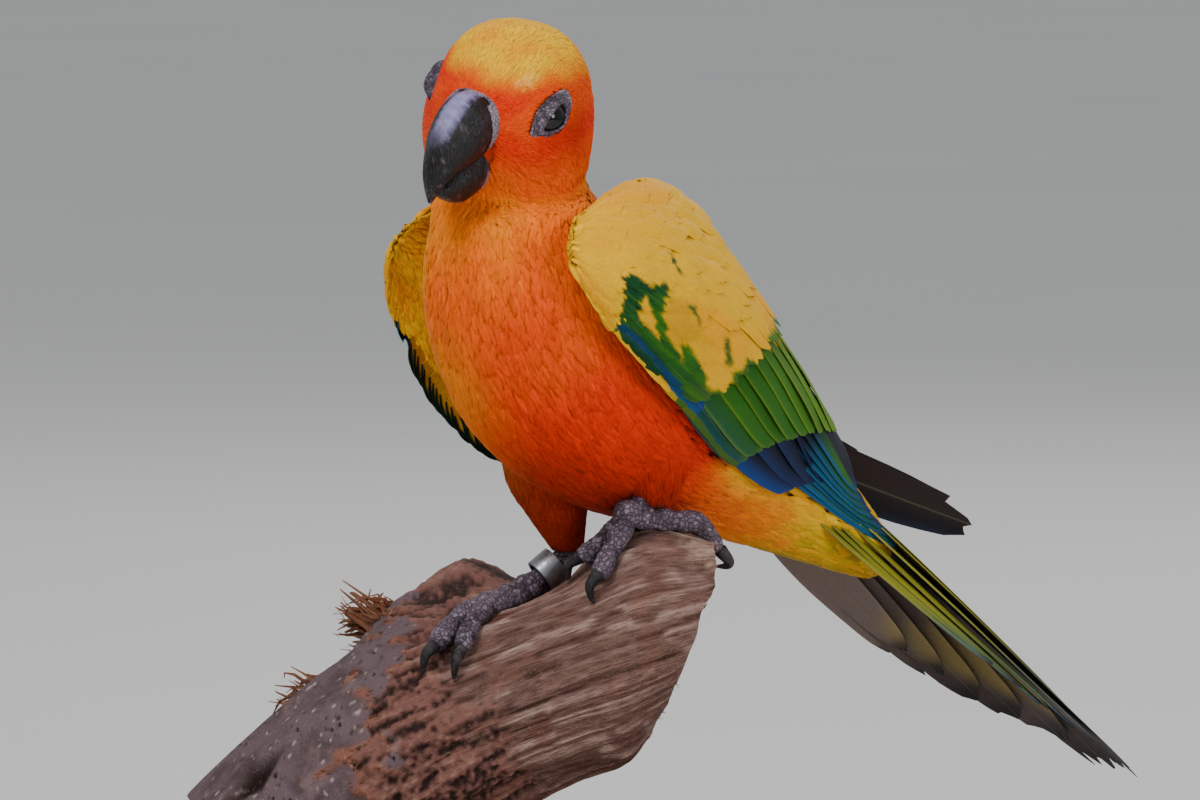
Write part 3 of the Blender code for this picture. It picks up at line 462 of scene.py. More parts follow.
def arm_shape(side, sunk=1.6, swell=0.0):
    """The fleshy part of the wing, flat-bottomed and thick at the wrist, thin towards the feathers."""
    def shape(t, turn):
        along = 0.012 + 0.56 * t
        lift = np.cos(turn)                      # 1 at the lower edge, -1 at the upper one
        s = 0.5 - 0.47 * lift
        depth = (0.6 + 8.5 * smooth(t, 0.0, 0.22) * smooth(t, 1.0, 0.35)) * (1 - 0.55 * lift * lift)
        under = np.where(np.sin(turn) > 0, 0.0, 1.0) * np.abs(np.sin(turn)) ** 0.6
        rim = (1 - swell * smooth(lift, 0.5, 1.0) * smooth(t, 0.5, 0.3)) * (1 - swell * smooth(along, 0.07, 0.0))
        offset = sunk * rim + under * (depth + 2 * (1.6 - sunk))
        return wing_at(side, along, s) - wing_out(side, along, s) * offset[..., None]
    return shape


skin = loft(lambda t, turn: body_at(t, turn, -coat_depth(t)), 72, 150, *BODY_FIELD)
fields, arm_verts = {}, []
for side in (1, -1):
    row = 0 if side > 0 else 1
    fields["arm", side] = (ARM_FIELD[0], 0.01 + 0.49 * row), (ARM_FIELD[1], ARM_FIELD[2])
    fields["thigh", side] = (THIGH_FIELD[0], 0.01 + 0.49 * row), (THIGH_FIELD[1], THIGH_FIELD[2])
    for piece, is_arm in ((loft(arm_shape(side), 24, 36, *fields["arm", side]), True),
                          (loft(lambda t, turn: thigh_at(side, t, turn, -1.0), 24, 20, *fields["thigh", side]),
                           False)):
        spare = bpy.data.meshes.new("spare")
        piece.to_mesh(spare)
        piece.free()
        before = len(skin.verts)
        skin.from_mesh(spare)
        bpy.data.meshes.remove(spare)
        if is_arm:
            arm_verts.append((before, len(skin.verts)))
print("skin:", len(skin.faces), "faces")

# %% [markdown]
# ## Where the colours lie
# An adult sun conure is gold on the crown, mantle and shoulders and orange-red on the face, breast and belly, and
# no edge between them is sharp: feathers of one colour lie among those of the next. So the body's colour is a
# function of place: a few broad fields, shifted by soft random patches, and the same function paints the skin and
# every feather on it.

# %% The body's colours
GOLD, DEEP_GOLD = hue(238, 180, 0), hue(234, 146, 0)
ORANGE, PALE_ORANGE = hue(236, 96, 0), hue(240, 136, 4)
FLAME, DEEP_RED = hue(220, 44, 0), hue(140, 28, 4)
OLIVE = hue(112, 122, 26)


def own_axes(points):
    """Places in the head's own frame: -Y along the bill, Z to the crown."""
    return (points - np.array(HEAD_CENTRE)) @ HEAD_TURN


def body_tint(points):
    x, y, z = points.T
    broad, small = cloudy(points, 17.0, 3.1), cloudy(points, 6.0, 8.7)
    tint = mix(ORANGE, PALE_ORANGE, smooth(0.55 * broad + 0.45 * small, -0.7, 0.9))
    # The breast reddens down its left side; its right side stays pale.
    low = smooth(z + 5 * broad, 74, 34)
    tint = mix(tint, FLAME, low * smooth(x + 0.25 * (y + 30) + 5 * small, -16, 12))
    pale = smooth(-x + 6 * broad, 0, 20) * smooth(z, 22, 40)
    tint = mix(tint, DEEP_GOLD, 0.55 * pale)
    # Belly between the legs, darkened to deep red as painted shade, then the flank and the long coverts under the tail.
    tint = mix(tint, DEEP_RED, 0.65 * smooth(z + 3 * small, 31, 19) * smooth(y, 12, 0))
    behind = smooth(y + 4 * small, 10, 20)
    tint = mix(tint, mix(PALE_ORANGE, ORANGE, smooth(small, -0.2, 0.9)), behind)
    tint = mix(tint, FLAME, 0.6 * behind * smooth(np.abs(z - 13 + 0.35 * (y - 25)), 6, 2) * smooth(y, 44, 26))
    tint = mix(tint, GOLD, smooth(y + 7 * small, 40, 58))
    smudge = np.exp(-((y - 55) / 7) ** 2 - ((z + 0) / 5) ** 2) + np.exp(-((y - 71) / 6) ** 2 - ((z + 2) / 6) ** 2)
    tint = mix(tint, OLIVE, np.clip(0.8 * smudge + 0.35 * smooth(y, 66, 86), 0, 0.85) * smooth(small, -0.6, 0.3))
    # Mantle and back.
    row = smooth(y - 0.55 * (80 - z) + 3 * small, -18, -6)
    tint = mix(tint, mix(GOLD, DEEP_GOLD, smooth(broad, -0.5, 0.9)), row * smooth(z, 8, 22))
    return head_tint(points, tint, broad, small)


def head_tint(points, below, broad, small):
    ahead, up, wide = -own_axes(points)[:, 1], own_axes(points)[:, 2], own_axes(points)[:, 0]
    crown = mix(GOLD, DEEP_GOLD, smooth(small + broad, -0.6, 1.2))
    # The red mask runs over the bill's base, round both eyes and fades on the cheeks.
    brow = 9.4 + 1.3 * small + 0.10 * (ahead - 8) + 1.2 * smooth(np.abs(wide), 7, 14)
    mask = smooth(up, brow + 3.4, brow - 2.6)
    mask_tint = mix(FLAME, ORANGE, 0.45 * smooth(small, -0.4, 0.9))
    mask_tint = mix(mask_tint, DEEP_RED, 0.45 * np.exp(-((ahead - 1.5) / 5) ** 2 - ((up + 1) / 7) ** 2) * smooth(wide, 4, 9))
    mask_tint = mix(mask_tint, ORANGE, smooth(up + 2 * small, -4, -13))
    mask_tint = mix(mask_tint, DEEP_GOLD, smooth(-ahead + 2.5 * small, 8, 15))
    head = mix(crown, mask_tint, mask)
    scuff = np.linalg.norm(own_axes(points) - (9.5, -11.5, 11.6), axis=-1)
    streaks = cloudy(points, 0.9, 7.3)
    head = mix(head, mix(hue(244, 176, 96), hue(228, 112, 80), smooth(small, 0, 0.6)),
               0.65 * smooth(scuff + 1.6 * streaks, 2.8, 1.0))
    head = mix(head, below, smooth(up + 2.5 * small, -8, -20))
    return mix(below, head, smooth(points[:, 2] + 0.2 * points[:, 1], 60, 80))


def shoulder_tint(points):
    broad, small = cloudy(points, 14.0, 5.2), cloudy(points, 4.0, 2.6)
    tint = mix(GOLD, DEEP_GOLD, 0.6 * smooth(0.7 * broad + 0.3 * small, -0.3, 1.1))
    return mix(tint, ORANGE, 0.15 * smooth(small + broad, 0.6, 1.5))


# %% Skin with those colours
def paint(obj, colours):
    layer = obj.data.attributes.new("Tint", 'FLOAT_COLOR', 'POINT')
    layer.data.foreach_set("color", np.c_[colours, np.ones(len(colours))].astype(np.float32).ravel())


skin_points = np.array([vert.co for vert in skin.verts])
skin_faces = [[vert.index for vert in face.verts] for face in skin.faces]
skin_piece = bmesh_piece("skin", skin, plume)
skin_tint = body_tint(skin_points)
for first, last in arm_verts:
    skin_tint[first:last] = shoulder_tint(skin_points[first:last])
# painted shade: the skin under the coat takes 0.9 of the body's colour, darker than the feathers
paint(skin_piece, skin_tint * 0.9)
hand_over(skin_piece, "orange_plumage", "head", "neck", "torso", "rump", "thigh_l", "thigh_r")

# %% [markdown]
# ## The coat
# A contour feather here is a small closed lock: three sides, a soft ridge along its back, a tip drawn to a point.
# One lock is made with bmesh and then repeated from arrays, tens of thousands of times, each bent over the body
# from a root under the skin to a tip at the surface that the solids give. Roots are thrown at random but never
# closer than a feather's own spacing, which is smallest round the bill and largest at the vent.

# %% One lock
def lock_shape():
    """Rings of a three-sided lock: how far across (-1 to 1), along and above (both 0 to 1)."""
    bm = bmesh.new()
    lying = Matrix.Rotation(math.pi, 4, 'Y') @ Matrix.Rotation(-math.pi / 2, 4, 'X')
    bmesh.ops.create_cone(bm, cap_ends=True, segments=3, radius1=0.5, radius2=0.03, depth=1.0, matrix=lying)
    for share in (-0.12, 0.26):
        bmesh.ops.bisect_plane(bm, geom=bm.verts[:] + bm.edges[:] + bm.faces[:], dist=1e-6,
                               plane_co=(0, share, 0), plane_no=(0, 1, 0))
    bmesh.ops.triangulate(bm, faces=bm.faces[:])
    bmesh.ops.recalc_face_normals(bm, faces=bm.faces[:])
    points = np.array([vert.co for vert in bm.verts])
    faces = np.array([[vert.index for vert in face.verts] for face in bm.faces])
    bm.free()
    along = points[:, 1] + 0.5
    radius = 0.5 - 0.47 * along
    return points[:, 0] / radius / 0.866, along, (points[:, 2] / radius + 0.5) / 1.5, faces


lock = lock_shape()
print("a lock has %d triangles" % len(lock[3]))


# %% Throwing the roots
def throw(shape, spacing_at, tries, seed):
    """Places (t, around) on shape(t, around), spread by area and never closer than spacing_at(points)."""
    draw = np.random.default_rng(seed)
    t, around = np.meshgrid((np.arange(120) + 0.5) / 120, (np.arange(60) + 0.5) / 60 * math.tau, indexing='ij')
    here = shape(t, around)
    area = np.linalg.norm(np.cross(shape(t + 0.004, around) - shape(t - 0.004, around),
                                   shape(t, around + 0.05) - shape(t, around - 0.05)), axis=-1)
    weight = (area / spacing_at(here.reshape(-1, 3)).reshape(area.shape) ** 2).ravel()
    cell = draw.choice(weight.size, tries, p=weight / weight.sum())
    t = (cell // 60 + draw.random(tries)) / 120
    around = (cell % 60 + draw.random(tries)) / 60 * math.tau
    points = shape(t, around)
    spaces = spacing_at(points)
    size = float(spaces.max())
    taken, kept = {}, []
    for i, (point, space) in enumerate(zip((points / size).tolist(), (spaces / size).tolist())):
        home = tuple(math.floor(v) for v in point)
        near = [other for dx in (-1, 0, 1) for dy in (-1, 0, 1) for dz in (-1, 0, 1)
                for other in taken.get((home[0] + dx, home[1] + dy, home[2] + dz), ())]
        if all((point[0] - o[0]) ** 2 + (point[1] - o[1]) ** 2 + (point[2] - o[2]) ** 2 > space * space
               for o in near):
            taken.setdefault(home, []).append(point)
            kept.append(i)
    return t[kept], around[kept]


def surface_of(shape, sides=60, rings=120):
    """A shape's surface, to ask for its nearest point and the way out there."""
    bm = bend(grid(sides, rings), lambda u, v: shape(v, u * math.tau))
    bmesh.ops.remove_doubles(bm, verts=bm.verts[:], dist=1e-4)
    bmesh.ops.holes_fill(bm, edges=[edge for edge in bm.edges if edge.is_boundary], sides=0)
    bmesh.ops.recalc_face_normals(bm, faces=bm.faces[:])
    tree = BVHTree.FromBMesh(bm)
    bm.free()
    return tree


def settle_on(tree, points):
    """The nearest points of a surface, with the ways out."""
    hits = [tree.find_nearest(Vector(point)) for point in points]
    return np.array([hit[0] for hit in hits]), np.array([hit[1] for hit in hits])


# %% Laying locks along the body
def lay_locks(name, tree, roots, ways, lengths, places, field, tint_at, replaced=(), rise=(0.1, 0.5), seed=1,
              depth=0.35, stout=0.27, soft=0.55):
    """One joined piece of locks: roots on the surface, the ways their feathers lie, and their lengths."""
    draw = np.random.default_rng(seed)
    count = len(roots)
    _, out = settle_on(tree, roots)
    ways = ways + 0.16 * draw.normal(size=(count, 3))
    ways = unit(ways - out * (ways * out).sum(-1, keepdims=True))
    lengths = lengths * draw.uniform(0.8, 1.2, count)
    middle, middle_out = settle_on(tree, roots + ways * lengths[:, None] * 0.5)
    tip, tip_out = settle_on(tree, middle + unit(middle - roots) * lengths[:, None] * 0.5)
    lift = draw.uniform(*rise, count) * np.minimum(lengths / 5, 1)
    tip = tip + tip_out * lift[:, None]
    start = roots - out * (depth * np.minimum(lengths / 4, 1))[:, None]
    knee = 2 * (middle + middle_out * 0.4 * lift[:, None]) - (start + tip) / 2
    across, along, above, faces = lock
    v = along[None, :, None]
    line = start[:, None] * (1 - v) ** 2 + knee[:, None] * 2 * v * (1 - v) + tip[:, None] * v * v
    ahead = unit((knee - start)[:, None] * (1 - v) + (tip - knee)[:, None] * v)
    up = unit(out[:, None] * (1 - v) + tip_out[:, None] * v)
    beside = unit(np.cross(ahead, up))
    width = (stout * lengths * draw.uniform(0.85, 1.15, count))[:, None]
    outline = curve([[0.55], [0.95], [1.0], [0.62], [0.10]], along)[None, :, 0]
    line = line + beside * (0.5 * across * width * outline)[..., None]
    line = line + up * (above * 0.22 * width * outline)[..., None]
    up_all = np.broadcast_to(up, line.shape)
    root_tint, tip_tint = tint_at(roots), tint_at(tip)
    own = draw.normal(size=(count, 1, 1))
    tint = root_tint[:, None] * (1 - v) * 0.8 + tip_tint[:, None] * (0.2 * (1 - v) + v)
    tint = np.clip(tint * (1 + 0.10 * own), 0, 1)
    tint[..., 1] *= 1 + 0.07 * draw.normal(size=(count, 1))
    size = 0.003
    u_map = field[0][0] + places[1][:, None] / math.tau * field[1][0] + across * size / 2
    v_map = field[0][1] + places[0][:, None] * field[1][1] + (along - 0.5) * size
    steps = (np.arange(count) * len(along))[:, None, None]
    everywhere = (faces[None] + steps).reshape(-1, 3)
    vane_map = np.stack([np.broadcast_to(across * 0.5 + 0.5, u_map.shape),
                         np.broadcast_to(along, u_map.shape)], -1).reshape(-1, 2)
    piece = mesh_piece(name, line.reshape(-1, 3), everywhere, plume,
                       [("OFBake", np.stack([u_map, v_map], -1).reshape(-1, 2)), ("Vane", vane_map)],
                       np.clip(tint, 0, 1).reshape(-1, 3))
    own_normals = np.empty(3 * len(piece.data.vertices), np.float32)
    piece.data.vertex_normals.foreach_get("vector", own_normals)
    softened = unit(own_normals.reshape(-1, 3) * (1 - soft) + up_all.reshape(-1, 3) * soft)
    piece.data.normals_split_custom_set_from_vertices(softened)
    return hand_over(piece, "orange_plumage", *replaced)


# %% [markdown]
# The way a feather lies: away from the bill over the forehead, lores and cheeks, then down the neck and along the
# body to the tail. Bare places stay free: the ring round each eye and the bill's root. Under the folded wings,
# which nobody sees, the roots are thinned out.

# %% The body's locks
BILL_ROOT = np.array(HEAD_PLACE @ Vector((0, -14.0, 1.0)))
EYE_SPOT, EYE_RADIUS, EYE_SLANT = Vector((11.6, -6.4, 2.2)), 4.5, 33.0
RING_SPOT = Vector((13.5, -8.1, 4.1))


def eye_near(points):
    """1 at the rim of the bare ring round either eye, more outside it."""
    own = own_axes(points)
    slant = math.radians(EYE_SLANT)
    y, z = own[:, 1] - RING_SPOT.y, own[:, 2] - RING_SPOT.z
    long = y * math.cos(slant) + z * math.sin(slant)
    high = -y * math.sin(slant) + z * math.cos(slant)
    wide = 3.7 * (1 - 0.3 * smooth(-long / 7, 0.2, 1))
    return np.where(np.abs(own[:, 0]) > 7, np.sqrt((long / 6.7) ** 2 + (high / wide) ** 2), 9.0)


def bill_near(points):
    """Below 1 where the bill grows out of the face."""
    own = own_axes(points)
    return np.where(own[:, 1] < -9, np.sqrt((own[:, 0] / 6.3) ** 2 + ((own[:, 2] + 3.9) / 10.2) ** 2), 9.0)


def feather_length(points):
    far = np.linalg.norm(points - BILL_ROOT, axis=-1)
    head = 1.5 + 0.105 * np.clip(far - 7, 0, 30)
    head = np.minimum(head, 1.3 + 0.9 * np.clip(eye_near(points) - 0.9, 0, 4))
    body = 4.6 + 1.6 * smooth(points[:, 2], 80, 40) + 1.8 * smooth(points[:, 1], 0, 50)
    return head + (body - head) * smooth(points[:, 2] + 0.3 * points[:, 1], 84, 68)


def body_surface(t, around):
    return body_at(t, around, np.zeros(np.shape(t)))


wing_trees = {side: surface_of(lambda t, turn: wing_at(side, 0.02 + 0.9 * t, turn / math.tau), 24, 60)
              for side in (1, -1)}
body_tree = surface_of(body_surface)
t, around = throw(body_surface, lambda points: 0.135 * feather_length(points), 330000, 5)
roots = body_surface(t, around)
bare = (eye_near(roots) < 1.0) | (bill_near(roots) < 1.0)
side_of = np.where(np.sin(around) >= 0, 1, -1)
hidden = np.zeros(len(roots), bool)
for side in (1, -1):
    mine = np.where(side_of == side)[0]
    near, out = settle_on(wing_trees[side], roots[mine])
    gap = np.linalg.norm(roots[mine] - near, axis=-1)
    inside = ((roots[mine] - near) * wing_out(side, 0.3, 0.5)).sum(-1) < 0
    hidden[mine] = (gap < 5) & inside
draw = np.random.default_rng(9)
keep = ~bare & (~hidden | (draw.random(len(roots)) < 0.35))
t, around, roots = t[keep], around[keep], roots[keep]
along = unit(body_surface(np.minimum(t + 0.01, 1), around) - body_surface(np.maximum(t - 0.01, 0), around))
away = unit(roots - BILL_ROOT)
ways = mix(away, along, smooth(np.linalg.norm(roots - BILL_ROOT, axis=-1), 15, 34))
print("body locks:", len(roots))
lengths = feather_length(roots)
for name, low, high in (("coat_face", 0.0, 0.20), ("coat_nape", 0.20, JAW + 0.03), ("coat_breast", JAW + 0.03, 0.55),
                        ("coat_belly", 0.55, 0.78), ("coat_vent", 0.78, 1.01)):
    mine = (t >= low) & (t < high)
    lay_locks(name, body_tree, roots[mine], ways[mine], lengths[mine], (t[mine], around[mine]), BODY_FIELD,
              body_tint, seed=len(name) + int(100 * low))

# %% [markdown]
# The wrist and shoulder of each folded wing wear the same locks, wrapped round the front and under the lower edge,
# so that no bare edge shows between the breast and the wing's own big feathers.

# %% Shoulder feathers
for side, mark in ((1, "l"), (-1, "r")):
    arm, low_arm = arm_shape(side, 1.0, 0.65), arm_shape(side, 1.3, 0.65)
    shoulder_length = lambda points: 3.4 + 0.03 * np.clip(points[:, 1] + 35, 0, 40)
    tree = surface_of(arm, 32, 60)
    reach = 0.6 if side > 0 else 1.0
    shoulder = lambda t, turn: low_arm(reach * t, turn)
    t, around = throw(shoulder, lambda points: 0.19 * shoulder_length(points), 40000, 11)
    roots = shoulder(t, around)
    outer = np.sin(around) > -0.15 * smooth(reach * t, 0.26, 0.36)
    near_body, body_way = settle_on(body_tree, roots)
    seen = ((roots - near_body) * body_way).sum(-1) > -1.5
    keep = seen & ~(outer & (reach * t > 0.3))
    t, around, roots = t[keep], around[keep], roots[keep]
    ways = unit(shoulder(np.minimum(t + 0.02, 1), around) - shoulder(np.maximum(t - 0.02, 0), around))
    lay_locks("coat_shoulder_" + mark, tree, roots, ways, shoulder_length(roots), (t, around), fields["arm", side],
              shoulder_tint, seed=side + 17, stout=0.34)

# %% [markdown]
# The thighs wear the same locks, smaller towards the ankle, where they end in a short cuff over the scaled shank.

# %% Thigh feathers
for side, mark in ((1, "l"), (-1, "r")):
    thigh = lambda t, around: thigh_at(side, t, around)
    tree = surface_of(thigh, 24, 30)
    thigh_length = lambda points: 2.2 + 3.0 * smooth(points[:, 2], 5, 26)
    t, around = throw(thigh, lambda points: 0.15 * thigh_length(points), 16000, 3)
    roots = thigh(t, around)
    ways = unit(thigh(np.minimum(t + 0.02, 1), around) - thigh(np.maximum(t - 0.02, 0), around))
    # painted shade: each thigh's colour darkens to deep red towards the ankle
    lay_locks("coat_thigh_" + mark, tree, roots, ways, thigh_length(roots), (t, around),
              fields["thigh", side], lambda points: mix(body_tint(points), DEEP_RED, 0.6 * smooth(points[:, 2], 27, 13)),
              seed=side + 7)

# %% [markdown]
# ## Big feathers
# Wing and tail feathers are single vanes that can be counted, so each is a thin closed sheet: a grid with
# thickness, bent along its own line over the wing, hollow underneath, with a rounded tip, a few splits in its edge
# and its own map for barbs and shaft. Rows overlap like tiles: primaries lowest, then secondaries, then the
# greater, median and lesser coverts, each row a little higher than the one that it covers.

# %% One vane, in two finenesses
def vane_shape(across, along):
    """A sheet with thickness: how far across (-1 to 1), along (0 to 1) and up (0 below, 1 above)."""
    bm = grid(across, along)
    bmesh.ops.solidify(bm, geom=bm.faces[:], thickness=0.2)
    bmesh.ops.recalc_face_normals(bm, faces=bm.faces[:])
    points = np.array([vert.co for vert in bm.verts])
    faces = np.array([[vert.index for vert in face.verts] for face in bm.faces])
    bm.free()
    up = (points[:, 2] - points[:, 2].min()) / np.ptp(points[:, 2])
    return points[:, 0] * 2, points[:, 1] + 0.5, up, faces


BIG_VANE, SMALL_VANE = vane_shape(8, 20), vane_shape(8, 15)
ROUNDED = [[0.35], [0.62], [0.85], [0.97], [1.0], [1.0], [0.97], [0.86], [0.58]]
POINTED = [[0.4], [0.8], [0.98], [1.0], [0.97], [0.88], [0.74], [0.52], [0.26]]
print("a big vane has %d faces, a small one %d" % (len(BIG_VANE[3]), len(SMALL_VANE[3])))


def read_line(line, b):
    """Points on each feather's line at the places b, both given as arrays with one row a feather."""
    place = np.clip(b, 0, 1) * (line.shape[1] - 1)
    i = np.minimum(place.astype(int), line.shape[1] - 2)
    f = (place - i)[..., None]
    rows = np.arange(len(line))[:, None]
    return line[rows, i] * (1 - f) + line[rows, i + 1] * f


def lay_vanes(shape, line, out, width, tint_at, places, seed, outline=ROUNDED, thick=0.28, camber=0.10,
              lean=0.0, off_middle=0.0, round_off=0.09, fray=0.02, wrap=None):
    """Arrays for a row of vanes along their lines: points, faces, colours and both maps."""
    across, along, up, faces = shape
    count = len(line)
    draw = np.random.default_rng(seed)
    strips, strip = np.unique(np.round(across, 4), return_inverse=True)
    ragged = np.abs(draw.normal(size=(count, len(strips)))) * fray
    b = along[None] - (round_off * across[None] ** 2 + ragged[:, strip.ravel()]) * along[None] ** 5
    a = across[None] + off_middle * (1 - across[None] ** 2) + 0 * b
    here, face_out = read_line(line, b), unit(read_line(out, b))
    ahead = unit(read_line(line, b + 0.03) - read_line(line, np.minimum(b, 0.999) - 0.03))
    beside = unit(np.cross(ahead, face_out))
    face_out = np.cross(beside, ahead)
    tilt = np.radians(lean)
    side_way = beside * math.cos(tilt) + face_out * math.sin(tilt)
    up_way = face_out * math.cos(tilt) - beside * math.sin(tilt)
    half = 0.5 * np.asarray(width)[:, None] * curve(outline, b)[..., 0]
    points = here + side_way * (a * half)[..., None]
    if wrap is not None:
        points = wrap(a * half, b) + face_out * (a * half * math.sin(tilt))[..., None]
    points = points + up_way * (-camber * half * a * a + (up[None] - 1) * thick * (1 - 0.5 * b))[..., None]
    wave = 0.04 * np.sin(b * 9 + draw.uniform(0, 6, (count, 1))) * half * b
    points = points + up_way * wave[..., None]
    tints = np.clip(tint_at(a, b, up[None] + 0 * b, np.arange(count)[:, None] + np.zeros(a.shape, int)),
                    0, 1)
    steps = (np.arange(count) * len(along))[:, None, None]
    small = 0.003
    bake = np.stack([places[0][:, None] + a * small / 2, places[1][:, None] + (b - 0.5) * small], -1)
    vane_map = np.stack([a * 0.5 + 0.5, b], -1)
    return (points.reshape(-1, 3), (faces[None] + steps).reshape(-1, 4), tints.reshape(-1, 3),
            bake.reshape(-1, 2), vane_map.reshape(-1, 2))


def join_rows(name, rows, slot, *replaced, crease=55):
    """One piece from several rows of vanes."""
    starts = np.cumsum([0] + [len(row[0]) for row in rows[:-1]])
    faces = np.concatenate([row[1] + start for row, start in zip(rows, starts)])
    piece = mesh_piece(name, np.concatenate([row[0] for row in rows]), faces, vanes,
                       [("OFBake", np.concatenate([row[3] for row in rows])),
                        ("Vane", np.concatenate([row[4] for row in rows]))],
                       np.concatenate([row[2] for row in rows]), crease)
    return hand_over(piece, slot, *replaced)


# %% [markdown]
# ## Colours of the wing
# On the folded wing the lesser and median coverts are gold. The greater coverts and the secondaries are green,
# with single gold feathers among them, the edge along the breast is blue with a thin gold rim, and the primaries
# are blue-black with green outer webs. The colour belongs to each feather as a whole, so it is looked up once at
# the feather's own place and then only given painted shade along it.

# %% Wing colours
GREEN, DARK_GREEN, LIME = hue(44, 106, 16), hue(12, 66, 32), hue(120, 150, 14)
BLUE, NAVY, SEA = hue(16, 56, 124), hue(10, 14, 34), hue(26, 100, 128)
UNDER = hue(34, 33, 36)


def with_painted_shade(base, a, b, up, k, draws, edge=0.12):
    """A feather's colour with painted shade: darker at its root, where its neighbour covers it, and on its underside;
    lighter at its rim.
    """
    own = 1 + 0.10 * draws[k]
    # painted shade: down to 0.72 at the root and 0.55 on the underside (up 0); edge lightens the rim
    light = (0.72 + 0.28 * smooth(b, 0.1, 0.55)) * own * (1 + edge * smooth(np.abs(a), 0.7, 1.0))
    return base * (light * (0.55 + 0.45 * up))[..., None]


def row_of(side, count, root, tip, lift, width, tint, seed, shape=SMALL_VANE, jitter=0.35, **more):
    """A row of feathers over the folded wing; root and tip give (t, s) at the lower and the upper end."""
    draw = np.random.default_rng(seed)
    f = (np.arange(count) + jitter * draw.uniform(-1, 1, count)) / max(count - 1, 1)
    start = np.stack([root[0][i] + (root[1][i] - root[0][i]) * f for i in (0, 1)], -1)
    end = np.stack([tip[0][i] + (tip[1][i] - tip[0][i]) * f for i in (0, 1)], -1)
    end[:, 0] += 0.012 * jitter * draw.normal(size=count)
    b = np.linspace(0, 1, 9)[None]
    t = np.clip(start[:, :1] + (end[:, :1] - start[:, :1]) * b, 0.0, 1.0)
    s = start[:, 1:] + (end[:, 1:] - start[:, 1:]) * b
    out = wing_out(side, t, s)
    above = 0.08 * draw.normal(size=(count, 1)) + more.pop("stack", 0.0) * np.arange(count)[:, None]
    high = lift[0] + (lift[1] - lift[0]) * smooth(b, 0.0, 0.7) + above
    more["lean"], more["off_middle"] = more.get("lean", 0.0) * side, more.get("off_middle", 0.0) * side
    line = wing_at(side, t, s) + out * high[..., None]
    corner, size = fields["arm", side]
    places = corner[0] + np.clip(start[:, 1], 0, 1) * size[0] * 0.5, corner[1] + np.clip(start[:, 0], 0, 1) * size[1]
    draws = draw.normal(size=count)
    chord = np.linalg.norm(wing_at(side, end[:, 0], 1 + 0 * f) - wing_at(side, end[:, 0], 0 * f), axis=-1)

    def spot(across, b):
        t = start[:, :1] + (end[:, :1] - start[:, :1]) * b
        return t, start[:, 1:] + (end[:, 1:] - start[:, 1:]) * b - across * side / chord[:, None]

    def own_tint(a, b, up, k):
        return tint(a * side, b, up, k, f, end, draws, spot(a * 0.5 * width, b))

    def over_wing(across, b):
        t, s = spot(across, b)
        t, s = np.clip(t, 0, 1), np.clip(s, -0.06, 0.985)
        high = lift[0] + (lift[1] - lift[0]) * smooth(b, 0.0, 0.7) + above - 0.3 * smooth(s, 0.86, 0.98)
        return wing_at(side, t, s) + wing_out(side, t, s) * high[..., None]

    if shape is SMALL_VANE and "lean" in more and abs(more["lean"]) < 20:
        more["wrap"] = over_wing
    return lay_vanes(shape, line, out, np.full(count, width) * draw.uniform(0.93, 1.07, count), own_tint,
                     places, seed, **more)


# The markings of the outer face, each an outline in (t, s): the green patch, its gold feather, two dark spikes among
# the gold, one dark fleck, an olive gold part, the thin blue band, and where the gold feathers end.
PATCH = ((0.13, 0.32), (0.138, 0.35), (0.152, 0.36), (0.182, 0.345), (0.195, 0.37), (0.205, 0.40), (0.213, 0.42),
         (0.223, 0.40), (0.228, 0.37), (0.233, 0.28), (0.27, 0.18), (0.333, 0.13), (0.312, 0.18), (0.32, 0.21),
         (0.372, 0.18), (0.405, 0.15), (0.415, 0.12), (0.62, 0.10), (0.62, -0.08), (0.185, -0.08), (0.182, 0.0),
         (0.165, 0.10), (0.138, 0.26))
GOLD_FEATHER = ((0.183, 0.275), (0.203, 0.14), (0.263, 0.13), (0.238, 0.19))
SPIKES = (((0.273, 0.38), (0.29, 0.415), (0.318, 0.33), (0.30, 0.36)),
          ((0.372, 0.36), (0.368, 0.385), (0.375, 0.40), (0.42, 0.28), (0.403, 0.27)))
FLECK = ((0.205, 0.59), (0.222, 0.585), (0.243, 0.51), (0.226, 0.53))
OLIVE_PART = ((0.228, 0.37), (0.233, 0.28), (0.27, 0.18), (0.333, 0.13), (0.312, 0.18), (0.32, 0.21), (0.36, 0.30),
              (0.318, 0.33), (0.29, 0.40), (0.26, 0.39))
BAND = ((0.185, 0.0), (0.185, 0.045), (0.233, 0.052), (0.305, 0.052), (0.37, 0.035), (0.42, 0.0), (0.355, 0.01),
        (0.275, 0.022))
GOLD_ENDS = ((0.13, 0.432), (0.16, 0.45), (0.20, 0.45), (0.24, 0.435), (0.26, 0.427), (0.30, 0.434), (0.35, 0.435),
             (0.39, 0.42), (0.40, 0.44), (0.42, 0.472), (0.45, 0.482), (0.51, 0.475), (0.57, 0.458), (0.62, 0.438),
             (0.74, 0.448), (0.92, 0.448))


WING_LONG, WING_DEEP = 125.0, 45.0


def inside(outline, t, s, soft=0.4):
    """How far places lie within an outline, 0 to 1 across a soft edge of that many millimetres each way."""
    x, y = t * WING_LONG, s * WING_DEEP
    within, near = np.zeros(t.shape, bool), np.full(t.shape, 99.0)
    for (t0, s0), (t1, s1) in zip(outline, outline[1:] + outline[:1]):
        within ^= ((s0 > s) != (s1 > s)) & (t < t0 + (t1 - t0) * (s - s0) / (s1 - s0 + 1e-9))
        x0, y0, dx, dy = t0 * WING_LONG, s0 * WING_DEEP, (t1 - t0) * WING_LONG, (s1 - s0) * WING_DEEP
        f = np.clip(((x - x0) * dx + (y - y0) * dy) / (dx * dx + dy * dy), 0, 1)
        near = np.minimum(near, np.hypot(x - x0 - f * dx, y - y0 - f * dy))
    return smooth(np.where(within, near, -near), -soft, soft)


